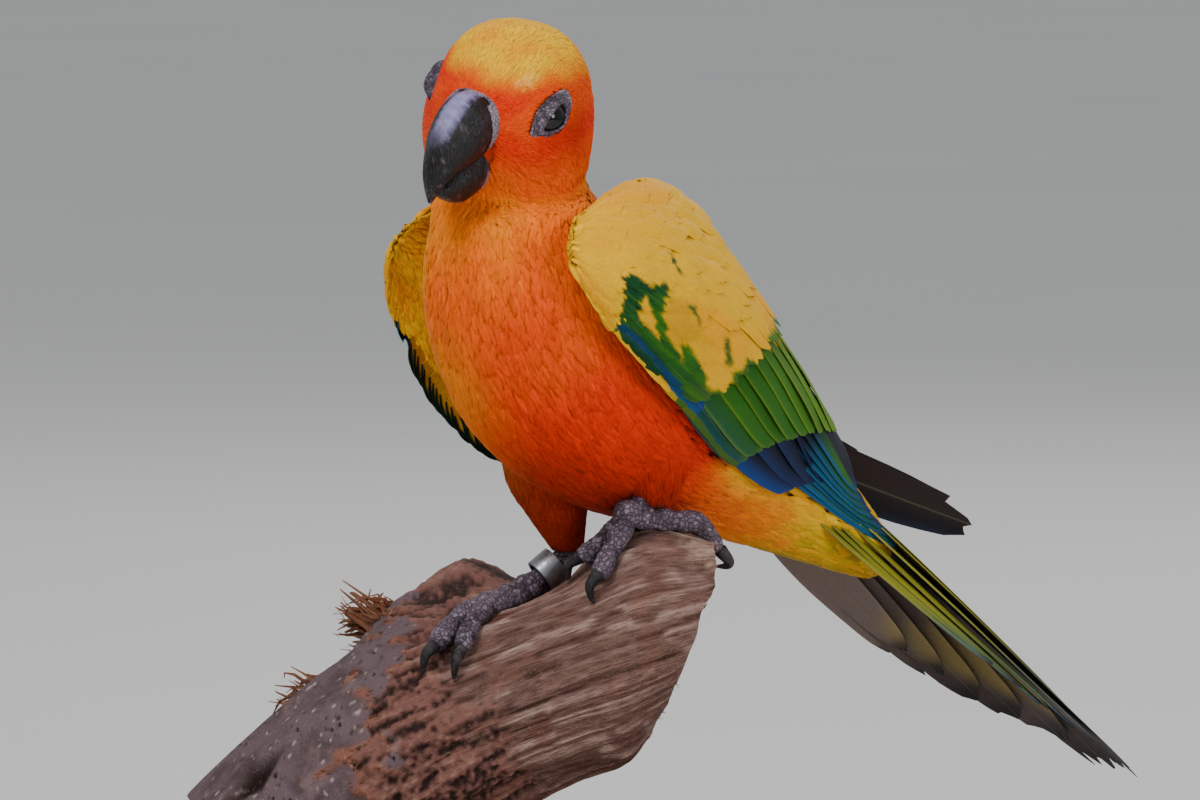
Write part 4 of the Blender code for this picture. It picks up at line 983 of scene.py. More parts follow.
def fine_noise(t, s, across=90.0, along=14.0):
    """Streaks that follow the barbs: a few sines that bend each other."""
    x, y = t * along, s * across
    return 0.5 * np.sin(1.7 * x + 2.1 * np.sin(0.9 * y)) + 0.5 * np.sin(1.3 * y + 1.7 * np.sin(1.1 * x + 0.31 * y))


def covert_feather(a, b, up, k, f, end, draws, spot):
    t, s = spot
    ragged = fine_noise(t, s)
    t, s = t + 0.007 * ragged, s + 0.006 * fine_noise(s, t, 40.0, 20.0)
    slow = 0.7 * fine_noise(t, s, 7.0, 11.0)
    base = mix(GOLD, DEEP_GOLD, 0.5 * smooth(slow + 0.12 * draws[k], -0.2, 0.6))
    green = mix(mix(DARK_GREEN, GREEN, smooth(slow + 0.3 * ragged, -0.4, 0.5)), LIME, 0.25 * smooth(t, 0.36, 0.46))
    beyond = smooth((t - np.interp(s, *np.array(GOLD_ENDS).T)) * WING_LONG, -0.4, 0.4)
    is_green = np.maximum(inside(PATCH, t, s) * (1 - inside(GOLD_FEATHER, t, s)), beyond)
    for share, colour in ((inside(OLIVE_PART, t, s, 1.5), mix(base, OLIVE, 0.25)), (is_green, green),
                          (inside(SPIKES[0], t, s) + inside(SPIKES[1], t, s), mix(DARK_GREEN, OLIVE, 0.4)),
                          (inside(FLECK, t, s), mix(DARK_GREEN, OLIVE, 0.3)),
                          (inside(BAND, t, s), mix(BLUE, DARK_GREEN, 0.2 + 0.5 * smooth(ragged, 0.0, 0.6)))):
        base = mix(base, colour, np.clip(share, 0, 1))
    return with_painted_shade(base, a, b, up, k, draws * 0.25, 0.05)


def dark_below(base, up):
    return mix(UNDER, base, 0.15 + 0.85 * smooth(up))


def edge_feather(a, b, up, k, f, end, draws, spot):
    base = mix(BLUE, DARK_GREEN, smooth(f + 0.2 * draws, 0.5, 1.1))[k]
    return with_painted_shade(dark_below(mix(base, SEA, 0.5 * smooth(a, 0.2, 0.9)), up), a, b, up, k, draws, 0.2)


def rim_feather(a, b, up, k, f, end, draws, spot):
    base = mix(GOLD, mix(DARK_GREEN, LIME, 0.25), smooth(end[:, 0] + 0.02 * draws, 0.40, 0.46))[k]
    return with_painted_shade(base, a, b, up, k, draws * 0.4, 0.05)


def cushion_feather(a, b, up, k, f, end, draws, spot):
    """The right wing's rim: gold towards the breast, blackish green along its outer edge, brightened by painted light.
    """
    # painted light: the gold is raised 1.15 times and the painted underside shade is halved, for a rim that lies in
    # shade
    base = mix(1.15 * GOLD, mix(DARK_GREEN, NAVY, 0.6), smooth(a, 0.45, 0.75))
    return with_painted_shade(base, a, b, 0.5 + 0.5 * up, k, draws * 0.4, 0.05)


def secondary_feather(a, b, up, k, f, end, draws, spot):
    base = mix(mix(DARK_GREEN, GREEN, smooth(f, -0.2, 0.35)), LIME, 0.45 * smooth(f, 0.45, 1.1))[k]
    base = mix(base, LIME, 0.45 * smooth(np.abs(a), 0.78, 1.0) + 0.25 * smooth(b, 0.9, 1.0))
    base = mix(base, BLUE, (0.6 * smooth(f, 0.16, 0.0)[k]) * smooth(a, 0.0, 0.9))
    return with_painted_shade(dark_below(base, up), a, b, up, k, draws, 0.1)


def navy_feather(a, b, up, k, f, end, draws, spot):
    base = mix(NAVY, BLUE, 0.2 * smooth(a, 0.3, 1.0) + 0.7 * (smooth(f, 0.25, 0.0)[k]) * smooth(a, 0.3, 0.85))
    return with_painted_shade(dark_below(base, up), a, b, up, k, draws, 0.3)


def primary_feather(a, b, up, k, f, end, draws, spot):
    outer = smooth(a, 0.05, 0.25)
    web = mix(mix(DARK_GREEN, GREEN, smooth(b, 0.5, 0.8)), mix(SEA, BLUE, 0.5), smooth(a, 0.6, 0.95))
    base = mix(NAVY, web, outer * smooth(b, 0.42, 0.6))
    return with_painted_shade(mix(base, BLUE, 0.7 * smooth(b, 0.88, 0.98)), a, b, up, k, draws, 0.1)


def dusky_feather(a, b, up, k, f, end, draws, spot):
    """The right wing's long primaries, which show mostly their dark inner webs."""
    dusk = mix(hue(58, 46, 44), hue(30, 24, 30), smooth(a, -0.2, 0.6))
    return with_painted_shade(mix(dusk, mix(DARK_GREEN, BLUE, 0.5), 0.3 * smooth(a, 0.6, 1.0)), a, b, up, k, draws, 0.15)


# %% Laying the wings
for side, mark in ((1, "l"), (-1, "r")):
    seed = 40 + side
    long_tint = primary_feather if side > 0 else dusky_feather
    edge_from = 0.12 if side > 0 else 0.46
    flight = [
        row_of(side, 8, ((0.43, 0.12), (0.46, 0.66)), ((1.0, 0.50), (0.84, 0.70)), (-5.4, -3.2),
               9.2 if side > 0 else 13.0, long_tint, seed, BIG_VANE, 0.05, stack=0.36, lean=8, outline=POINTED if side > 0 else ROUNDED,
               off_middle=0.25, round_off=0.05),
        row_of(side, 6, ((0.46, 0.12), (0.46, 0.90)), ((0.74, 0.14), (0.82, 0.86)), (-3.2, -2.2), 11.5,
               navy_feather, seed + 2, BIG_VANE, 0.1, lean=7, off_middle=0.15),
        row_of(side, 10, ((0.36, 0.05), (0.36, 0.92)), ((0.595, 0.05), (0.69, 0.88)), (-2.2, -0.9), 8.6,
               secondary_feather, seed + 4, BIG_VANE, 0.1, lean=9, off_middle=0.12),
        row_of(side, 6, ((edge_from, 0.06), (0.36, 0.05)), ((0.24 + min(edge_from, 0.3), 0.05), (0.60, 0.03)), (-2.6, -1.0),
               6.5, edge_feather, seed + 6, BIG_VANE, 0.1, lean=10)]
    join_rows("feathers_flight_" + mark, flight, "wing_feathers", "wing_" + mark)
    coverts = [
        row_of(side, 11, ((0.30, 0.06), (0.31, 0.90)), ((0.44, 0.10), (0.47, 0.88)), (-1.5, -0.2), 6.6,
               covert_feather, seed + 8, jitter=0.25, lean=7, camber=0.16),
        row_of(side, 13, ((0.25, 0.05), (0.25, 0.92)), ((0.375, 0.05), (0.40, 0.90)), (-1.2, 0.0), 6.0,
               covert_feather, seed + 10, jitter=0.3, lean=6, camber=0.16),
        row_of(1, 26, ((0.0, 0.0), (0.50, 0.0)), ((0.08, 0.0), (0.58, 0.0)), (-1.6, -0.6), 2.8, rim_feather,
               seed + 12, jitter=0.3, lean=30) if side > 0 else
        row_of(-1, 20, ((0.22, 0.01), (0.54, 0.01)), ((0.30, 0.0), (0.62, 0.0)), (-2.4, -1.4), 6.0, cushion_feather,
               seed + 12, jitter=0.3, lean=22)]
    for row in range(10):
        t = 0.005 + 0.026 * row
        low = 0.03 if side > 0 else 0.09
        coverts.append(row_of(side, 14, ((t, low), (t, 0.93)), ((t + 0.085, low), (t + 0.09, 0.92)), (-1.2, 0.1),
                              5.0, covert_feather, seed + 20 + row, jitter=0.5, lean=4, camber=0.18, fray=0.05))
    join_rows("feathers_covert_" + mark, coverts, "wing_feathers")

# %% [markdown]
# ## The tail
# Twelve long feathers in a narrow stack, the middle pair longest and on top, each pair below it a step shorter and
# further out, so that the tail is a long graduated point. From above they are olive and gold with blue-black ends;
# from below, which is what the photograph shows, they are a worn grey-brown.

# %% Tail feathers
TAIL_BASE, TAIL_TIP = np.array((0.0, 62.0, 19.5)), np.array((0.0, 171.5, -60.5))
TAIL_PAIRS, TAIL_OUTER_SHARE, TAIL_PITCH = 6, 0.50, 30.0
BROWN, ASH = hue(66, 54, 52), hue(146, 130, 122)


def tail_tint(a, b, up, k, draws):
    rank = k // 2
    above = mix(mix(hue(150, 150, 30), hue(96, 112, 34), smooth(b, 0.35, 0.75)), NAVY, smooth(b, 0.80, 0.97))
    above = mix(above, mix(SEA, BLUE, 0.5), 0.5 * smooth(np.abs(a), 0.6, 1.0) * smooth(b, 0.5, 0.8))
    below = mix(BROWN, ASH, 0.25 * smooth(draws[k], -0.5, 1.5) + 0.35 * smooth(rank, 3.2, 5))
    below = mix(below, hue(168, 146, 70), 0.45 * smooth(np.sin(7 * b + 3 * k) + 0.6 * a, 0.7, 1.4))
    below = mix(below, hue(36, 30, 32), smooth(b, 0.86, 0.97))
    return mix(below, above, smooth(up, 0.4, 0.6)) * (1 + 0.08 * draws[k] + 0.12 * smooth(np.abs(a), 0.7, 1))[..., None]


def tail_row():
    axis = TAIL_TIP - TAIL_BASE
    ahead = axis / np.linalg.norm(axis)
    above = np.cross((1, 0, 0), ahead)
    rank = np.repeat(np.arange(TAIL_PAIRS), 2) * (4.0 / (TAIL_PAIRS - 1))
    side = np.tile((1.0, -1.0), TAIL_PAIRS)
    share = 1 - (1 - TAIL_OUTER_SHARE) * (rank / 4) ** 0.9
    pitch = np.radians(TAIL_PITCH * (0.4 + 0.6 * np.minimum(rank / 2, 1)))
    b = np.linspace(0, 1, 11)[None]
    spread = 1.5 + (1.2 + 3.3 * rank)[:, None] * smooth(0.45 + 0.6 * b * share[:, None])
    fall = rank[:, None] + spread * np.tan(pitch)[:, None] * 0.8 + 0.9 * rank[:, None] * (1 - b)
    line = TAIL_BASE + axis * (share[:, None] * b)[..., None] - above * fall[..., None]
    line[..., 0] += side[:, None] * spread
    out = np.stack([side * np.sin(pitch), 0 * side, 0 * side], -1) + above * np.cos(pitch)[:, None]
    out = np.repeat(out[:, None], 11, axis=1)
    draws = np.random.default_rng(4).normal(size=len(rank))
    width = 14.0 - 0.6 * rank
    places = np.full(len(rank), 0.985), np.linspace(0.02, 0.5, len(rank))
    return lay_vanes(BIG_VANE, line, out, width, lambda a, b, up, k: tail_tint(a, b, up, k, draws), places, 17,
                     outline=[[0.45], [0.8], [0.95], [1.0], [1.0], [0.93], [0.82], [0.66], [0.30]],
                     round_off=0.04, camber=0.12, fray=0.03, thick=0.35)


join_rows("feathers_tail", [tail_row()], "tail_feathers", "tail")

# %% [markdown]
# ## The bill
# A parrot's bill is a thick hooked shell of black horn. It isn't glossy all over, and its sides are scuffed by
# wood; near its root a painted reflection, a lilac sheen, lies along the ridge. Both halves are lofts of the
# solids' own sections in many more steps, with faint growth lines, a soft ridge and a toothed cutting edge. The
# bare skin that the bill grows out of, with the nostrils in it, is a narrow swollen band round its root.

# %% Bill sections
# Ridge y, ridge z, lower edge y, lower edge z and half width, in the head's own frame.
UPPER_BILL = (
    (-12.5, 5.6, -12.5, -6.0, 5.9), (-17.0, 6.9, -16.0, -7.2, 6.4), (-21.5, 6.0, -19.5, -8.4, 6.3),
    (-26.0, 2.6, -22.2, -9.0, 5.5), (-29.0, -2.2, -24.6, -9.0, 4.3), (-30.7, -7.3, -27.0, -10.0, 3.0),
    (-30.8, -11.0, -28.6, -11.8, 1.7), (-30.1, -14.0, -29.4, -14.0, 0.5))
LOWER_BILL = (
    (-12.0, -2.6, -10.5, -14.0, 5.5), (-16.5, -3.8, -15.5, -16.0, 5.6), (-20.5, -6.0, -20.0, -16.6, 5.0),
    (-24.0, -8.6, -23.6, -15.4, 3.8), (-26.6, -11.0, -26.2, -13.6, 2.4))
NOSTRIL = np.array((2.9, -17.4, 6.0))


def to_drawing(own):
    return own @ HEAD_TURN.T + np.array(HEAD_CENTRE)


def bill_at(rows, t, around, grow=0.0, ridge=0.0, tooth=0.0, square=0.82):
    """Points of the bill in the head's frame: around is 0 on the ridge."""
    row = curve(rows, t)
    top = np.stack([0 * t, row[..., 0], row[..., 1]], -1)
    low = np.stack([0 * t, row[..., 2], row[..., 3]], -1)
    centre, deep = (top + low) / 2, (top - low) / 2
    above = np.cos(around)
    lines = 0.05 * np.sin(t * 70) * smooth(t, 0.75, 0.05)
    reach = 1 + (grow + lines + ridge * smooth(above, 0.86, 1.0)) / np.linalg.norm(deep, axis=-1)
    bite = tooth * smooth(-above, 0.2, 0.9) * np.exp(-((t - 0.60) / 0.06) ** 2)
    flank = np.sign(np.sin(around)) * np.abs(np.sin(around)) ** square
    wide = (row[..., 4] + grow + lines) * flank * (1 - 0.16 * np.clip(-above, 0, 1))
    points = centre + deep * (above * reach + bite)[..., None]
    points[..., 0] += wide
    return points


def bill_tint(points, upper):
    own = own_axes(points)
    worn, fleck = cloudy(points, 4.0, 2.2), cloudy(points, 1.1, 5.0)
    tint = mix(hue(14, 11, 13), hue(40, 34, 38), smooth(worn + 0.8 * fleck, 0.5, 1.5))
    if upper:
        # painted reflection: a lilac sheen along the upper ridge near the root
        ridge = smooth(np.abs(own[:, 0] + 1.1) + 0.6 * fleck, 2.9, 1.7) * smooth(own[:, 2], -9, -1)
        tint = mix(tint, hue(158, 150, 200), ridge * smooth(own[:, 1] + 0.9 * worn, -29.5, -25) * (0.8 + 0.2 * fleck))
    else:
        rim = smooth(own[:, 1] + 0.5 * fleck, -17.2, -14.8) + 0.6 * smooth(own[:, 2], -15.4, -16.4)
        tint = mix(tint, hue(176, 150, 176), np.clip(rim, 0, 1))
    return mix(tint, hue(120, 106, 104), 0.5 * smooth(fleck * np.abs(worn), 0.3, 0.8))


# %% Horn finish
horn, tree, shader = finish_of("scuffed_horn", 0.36, Specular_IOR_Level=0.35)
here = put(tree, "TexCoord").outputs["Object"]
tint = put(tree, "Attribute", attribute_name="Tint").outputs["Color"]
grainy = place_group(tree, patchy, {"Place": here, "Scale": 320.0, "Stretch": (1.0, 1.0, 0.35)})
scratch = put(tree, "TexVoronoi", {"Vector": here, "Scale": 700.0}, feature='DISTANCE_TO_EDGE').outputs["Distance"]
tree.links.new(blend(tree, fade(tree, grainy["Fine"], 0.52, 0.72, 0.0, 0.35), tint, rgba(hue(92, 84, 84))),
               shader["Base Color"])
tree.links.new(fade(tree, grainy["Slow"], 0.35, 0.65, 0.24, 0.52), shader["Roughness"])
tree.links.new(bump(tree, grainy["Fine"], 0.7, 0.0004, bump(tree, fade(tree, scratch, 0.0, 0.06), 0.3, 0.0001)),
               shader["Normal"])

# %% Both halves of the bill
for name, rows, upper in (("bill_horn_upper", UPPER_BILL, True), ("bill_horn_lower", LOWER_BILL, False)):
    ridge, tooth = (0.25, 0.16) if upper else (0.0, 0.0)
    bm = loft(lambda t, turn: to_drawing(bill_at(rows, t, turn, 0.0, ridge, tooth)), 44, 64 if upper else 36,
              (0.02, 0.02), (0.96, 0.96))
    points = np.array([vert.co for vert in bm.verts])
    piece = bmesh_piece(name, bm, horn)
    paint(piece, bill_tint(points, upper))
    hand_over(piece, "black_horn", "bill_upper" if upper else "bill_lower")

# %% [markdown]
# The cere is soft skin, pebbled and a little swollen, with a nostril sunk into it on each side of the ridge. The
# same dry grey-lilac skin rings the eyes, so both share one finish.

# %% Bare skin and the cere
def pebbled(name, scale, relief):
    """Dry scaled skin: a net of fine seams between pebbles, each a little darker than its neighbour."""
    mat, tree, shader = finish_of(name, 0.6, Specular_IOR_Level=0.3)
    here = put(tree, "TexCoord").outputs["Object"]
    tint = put(tree, "Attribute", attribute_name="Tint").outputs["Color"]
    net = put(tree, "TexVoronoi", {"Vector": here, "Scale": scale}, feature='DISTANCE_TO_EDGE').outputs["Distance"]
    cells = put(tree, "TexVoronoi", {"Vector": here, "Scale": scale}).outputs["Color"]
    uneven = place_group(tree, patchy, {"Place": here, "Scale": 500.0})
    seam = fade(tree, net, 0.0, 0.16)
    colour = blend(tree, fade(tree, cells, 0.3, 0.9, 0.0, 0.35), tint, rgba(hue(176, 160, 176)))
    tree.links.new(blend(tree, fade(tree, seam, 0.0, 1.0, 0.55, 0.0), colour, rgba(hue(38, 28, 36))),
                   shader["Base Color"])
    tree.links.new(bump(tree, seam, 0.8, relief, bump(tree, uneven["Fine"], 0.3, 0.0001)), shader["Normal"])
    return mat


bare_skin, foot_skin = pebbled("bare_grey_skin", 1500.0, 0.0002), pebbled("scaled_feet", 950.0, 0.0004)


def cere_at(t, turn):
    along = 0.01 + (0.15 + 0.06 * np.abs(np.sin(turn))) * t
    swell = 0.85 * np.sin(np.pi * np.clip(t, 0, 1)) ** 0.7 * smooth(np.cos(turn), -0.95, 0.0)
    points = bill_at(UPPER_BILL, along, turn, -0.15 + swell)
    for side in (1, -1):
        off = np.linalg.norm(points - NOSTRIL * (side, 1, 1), axis=-1)
        points = points - np.array((0, -0.25, 0.95)) * (1.25 * smooth(off, 1.5, 0.35))[..., None]
    return to_drawing(points)


bm = loft(cere_at, 90, 26, (0.02, 0.02), (0.96, 0.96))
points = np.array([vert.co for vert in bm.verts])
own = own_axes(points)
hole = np.minimum(*(np.linalg.norm(own - NOSTRIL * (side, 1, 1), axis=-1) for side in (1, -1)))
cere_tint = mix(hue(150, 140, 150), hue(112, 100, 112), smooth(cloudy(points, 2.5, 1.0), -0.5, 0.8))
cere = bmesh_piece("cere", bm, bare_skin)
# painted shade: both nostrils are painted near black inside their dimples
paint(cere, mix(cere_tint, hue(18, 12, 14), smooth(hole, 1.5, 0.9)))
hand_over(cere, "grey_scales")

# %% [markdown]
# ## The eyes
# The eye is nearly black, half closed under a drooping upper lid, inside an almond of bare lilac-grey skin. The
# ball is a sphere with a swollen cornea whose colours are given by the angle from its own axis: pupil, iris with
# faint spokes, dark rim. The lids are a round sheet with a hole, from a soft edge that hugs the ball out to the
# skin of the cheek, and their shape is worked out on the ball, so that they stay closed against it.

# %% Eyeballs
wet_eye, tree, shader = finish_of("wet_eye", 0.03, Specular_IOR_Level=0.4)
tint = put(tree, "Attribute", attribute_name="Tint").outputs["Color"]
speck = place_group(tree, patchy, {"Place": put(tree, "TexCoord").outputs["Object"], "Scale": 900.0})
tree.links.new(blend(tree, fade(tree, speck["Fine"], 0.4, 0.7, 0.0, 0.25), tint, rgba(hue(30, 22, 18))),
               shader["Base Color"])
EYE_AHEAD, EYE_UP = math.radians(22), math.radians(18)


def eye_frame(side):
    """The ball's middle, the way it looks, the lids' long way (up and back) and the way across them."""
    look = unit(np.array((side * math.cos(EYE_AHEAD), -math.sin(EYE_AHEAD), math.sin(EYE_UP))))
    back = np.array((0.0, math.cos(math.radians(EYE_SLANT)), math.sin(math.radians(EYE_SLANT))))
    back = unit(back - look * (back @ look))
    return np.array((EYE_SPOT.x * side, EYE_SPOT.y, EYE_SPOT.z)), look, back, np.cross(look, back) * side


for side, mark in ((1, "l"), (-1, "r")):
    middle, look, back_way, high_way = eye_frame(side)
    bm = bmesh.new()
    bmesh.ops.create_uvsphere(bm, u_segments=48, v_segments=40, radius=1.0)
    angles = []
    for vert in bm.verts:
        across, up, out = vert.co
        angle = math.acos(max(-1.0, min(1.0, out)))
        angles.append((angle, math.atan2(up, across)))
        reach = EYE_RADIUS * (1 + 0.05 * float(smooth(angle, 0.85, 0.25)))
        own = middle + (back_way * across + high_way * up + look * out) * reach
        vert.co = to_drawing(own)
    angle, spoke = np.array(angles).T
    iris = mix(hue(38, 27, 22), hue(18, 12, 12), smooth(np.sin(spoke * 23) + 0.6 * np.sin(spoke * 57), -0.8, 1.2))
    colours = mix(hue(4, 3, 4), iris, smooth(angle, 0.40, 0.46))
    colours = mix(colours, hue(16, 12, 13), smooth(angle, 0.62, 0.76))
    ball = bmesh_piece("eyeball_" + mark, bm, wet_eye)
    paint(ball, colours)
    hand_over(ball, "dark_eye", "eye_" + mark)


# %% Lids and the bare ring
def lid_points(side, rho, phi):
    middle, look, back_way, high_way = eye_frame(side)
    inner_long, inner_high = 0.1 + 3.5 * np.cos(phi), np.sin(phi)
    droop = np.where(inner_high > 0, 1.5, 1.9)
    inner_high = 0.3 + droop * np.sign(inner_high) * np.abs(inner_high) ** 1.3
    corner = smooth(-np.cos(phi), 0.2, 1.0)
    outer_long, outer_high = -0.1 + 7.1 * np.cos(phi), 0.6 * (1 - corner) + 3.8 * np.sin(phi) * (1 - 0.3 * corner)
    share = smooth(rho) * 0.35 + 0.65 * rho
    long, high = inner_long + (outer_long - inner_long) * share, inner_high + (outer_high - inner_high) * share
    lip = EYE_RADIUS - 0.05 + 0.85 * smooth(rho, 0.0, 0.16)
    on_ball = np.sqrt(np.clip(lip ** 2 - long ** 2 - high ** 2, 1.0, None))
    start = to_drawing(middle + back_way * long[..., None] + high_way * high[..., None] + look * 25)
    aim = Vector(to_drawing(-look) - to_drawing(0 * look))
    hits = [body_tree.ray_cast(Vector(point), aim)[3] for point in start.reshape(-1, 3)]
    cheek = 25 - np.array([25.0 if hit is None else hit for hit in hits]).reshape(long.shape) - 0.15
    height = np.where(rho < 0.2, on_ball, mix(on_ball[..., None], cheek[..., None], smooth(rho, 0.2, 0.85))[..., 0])
    height = np.where(rho < 0.2, height, np.maximum(height, cheek - 0.3 * smooth(rho, 0.9, 0.6)))
    folds = 0.10 * np.sin(rho * 26 + 0.8 * np.sin(phi * 3)) * smooth(rho, 0.12, 0.3) * smooth(rho, 1.0, 0.7)
    own = middle + back_way * long[..., None] + high_way * high[..., None] + look * (height + folds)[..., None]
    return to_drawing(own)


for side, mark in ((1, "l"), (-1, "r")):
    bm = bend(grid(72, 26), lambda u, v: lid_points(side, v, u * math.tau))
    bmesh.ops.remove_doubles(bm, verts=bm.verts[:], dist=1e-4)
    flat = np.array([vert.co for vert in bm.verts])
    from_lip = np.linalg.norm(own_axes(flat) - eye_frame(side)[0], axis=-1)
    ring_tint = mix(hue(74, 62, 76), hue(190, 172, 178), smooth(from_lip + 0.6 * cloudy(flat, 2.0, 4.0), 5.2, 8.4))
    ring_tint = mix(ring_tint, hue(34, 26, 30), smooth(from_lip, 4.95, 4.5))
    lids = bmesh_piece("eye_ring_" + mark, bm, bare_skin)
    if sum(lids.data.polygons[0].normal[i] * v for i, v in enumerate(HEAD_TURN @ eye_frame(side)[1])) < 0:
        lids.data.flip_normals()
    paint(lids, ring_tint)
    hand_over(lids, "grey_scales")

# %% [markdown]
# ## The branch
# A thick dead branch, broken at one end and sawn at the other. Half of it still wears smooth grey bark with pale
# specks and short cracks; the rest is bare reddish wood that weather has split into long fibres, with a crumbly
# torn hump along the top where the bird stands. The form is the solid's own, read at far more places, and then
# worked by depth: bark lies a little proud of the wood, its edge is ragged, and the wood is grooved along its grain.
# The solid is the measure: nothing rises more than half a millimetre over it under the feet.

# %% The branch's own form
ALONG, TOWARDS = np.array((1.0, 1.0, 0.0)) / math.sqrt(2), np.array((1.0, -1.0, 0.0)) / math.sqrt(2)
BRANCH_ROWS = ((22.0, -14.0, 17.0), (8.0, -18.5, 19.5), (-10.0, -24.5, 20.5), (-28.0, -32.0, 21.5),
               (-46.0, -41.5, 22.5), (-64.0, -55.5, 21.5), (-84.0, -75.0, 22.0))
SWELLINGS = ((12, -4, 8.5, 10, 42), (-19, -54, 25, 12, 22), (-34, -40, 9, 9, 30), (-13, -16, -4.5, 10, 22),
             (-50, 75, 2.5, 16, 40), (2, 120, 2, 14, 50))
BRANCH_TOWARDS, BRANCH_RINGS, END_RINGS, END_SLOPE, END_REACH = 5.0, 31, 9, 29.0, 8.5
BRANCH_CUT, BRANCH_CUT_AIM = (-70.0, -60.0), (-0.57, -0.82)


def bark_at(t, turned):
    """Points of the branch, the way out and the way along; turned is the angle from the top."""
    row, step = curve(BRANCH_ROWS, t), curve(BRANCH_ROWS, t + 0.03) - curve(BRANCH_ROWS, t - 0.03)
    ahead = unit(ALONG * step[..., :1] + np.array((0, 0, 1.0)) * step[..., 1:2])
    centre = ALONG * row[..., :1] + TOWARDS * BRANCH_TOWARDS + np.array((0, 0, 1.0)) * row[..., 1:2]
    rise = unit(np.cross(TOWARDS, ahead))
    rise = rise * np.sign(rise[..., 2:])
    way = rise * np.cos(turned)[..., None] + TOWARDS * np.sin(turned)[..., None]
    radius = row[..., 2]
    for along, from_top, height, reach, reach_round in SWELLINGS:
        off = (np.degrees(turned) - from_top + 180) % 360 - 180
        radius = radius + height * np.exp(-((row[..., 0] - along) / reach) ** 2 - (off / reach_round) ** 2)
    grain = noise_at(np.stack([t * 2.2, np.cos(turned) * 2.4, np.sin(turned) * 2.4], -1))
    knots = noise_at(np.stack([t * 8.0 + 7, np.cos(turned) * 3.1, np.sin(turned) * 3.1], -1))
    here = centre + way * (radius + 1.6 * grain + 0.9 * knots)[..., None]
    k = t * (BRANCH_RINGS - 1)
    splinter = noise_at(np.stack([np.cos(turned) * 2.7, np.sin(turned) * 2.7, 3.0 + 0 * t], -1))
    slope = END_SLOPE * (1 - np.cos(turned - 0.2)) / 2 - END_REACH + 2 * splinter
    return here + ahead * (slope * np.clip(1 - k / END_RINGS, 0, 1))[..., None], way, ahead


# %% Where bark ends and wood begins
CAP, SIDES, RINGS = 0.05, 280, 300


def off_angle(turned, middle):
    return (np.degrees(turned) - middle + 180) % 360 - 180


def saw_line(turned):
    """How far along the branch each line of the bark runs before the saw cut."""
    point = ALONG * BRANCH_CUT[0] + TOWARDS * BRANCH_TOWARDS + np.array((0, 0, BRANCH_CUT[1]))
    aim = unit(ALONG * BRANCH_CUT_AIM[0] + np.array((0, 0, BRANCH_CUT_AIM[1])))
    steps, turns = np.linspace(0.55, 1.0, 60), np.linspace(0, math.tau, 73)
    t, a = np.meshgrid(steps, turns, indexing='ij')
    over = (bark_at(t, a)[0] - point) @ aim
    first = np.argmax(over > 0, axis=0)
    columns = np.arange(len(turns))
    low, high = over[first - 1, columns], over[first, columns]
    ends = steps[first - 1] + (steps[first] - steps[first - 1]) * (-low / (high - low))
    return np.interp(turned % math.tau, turns, ends)


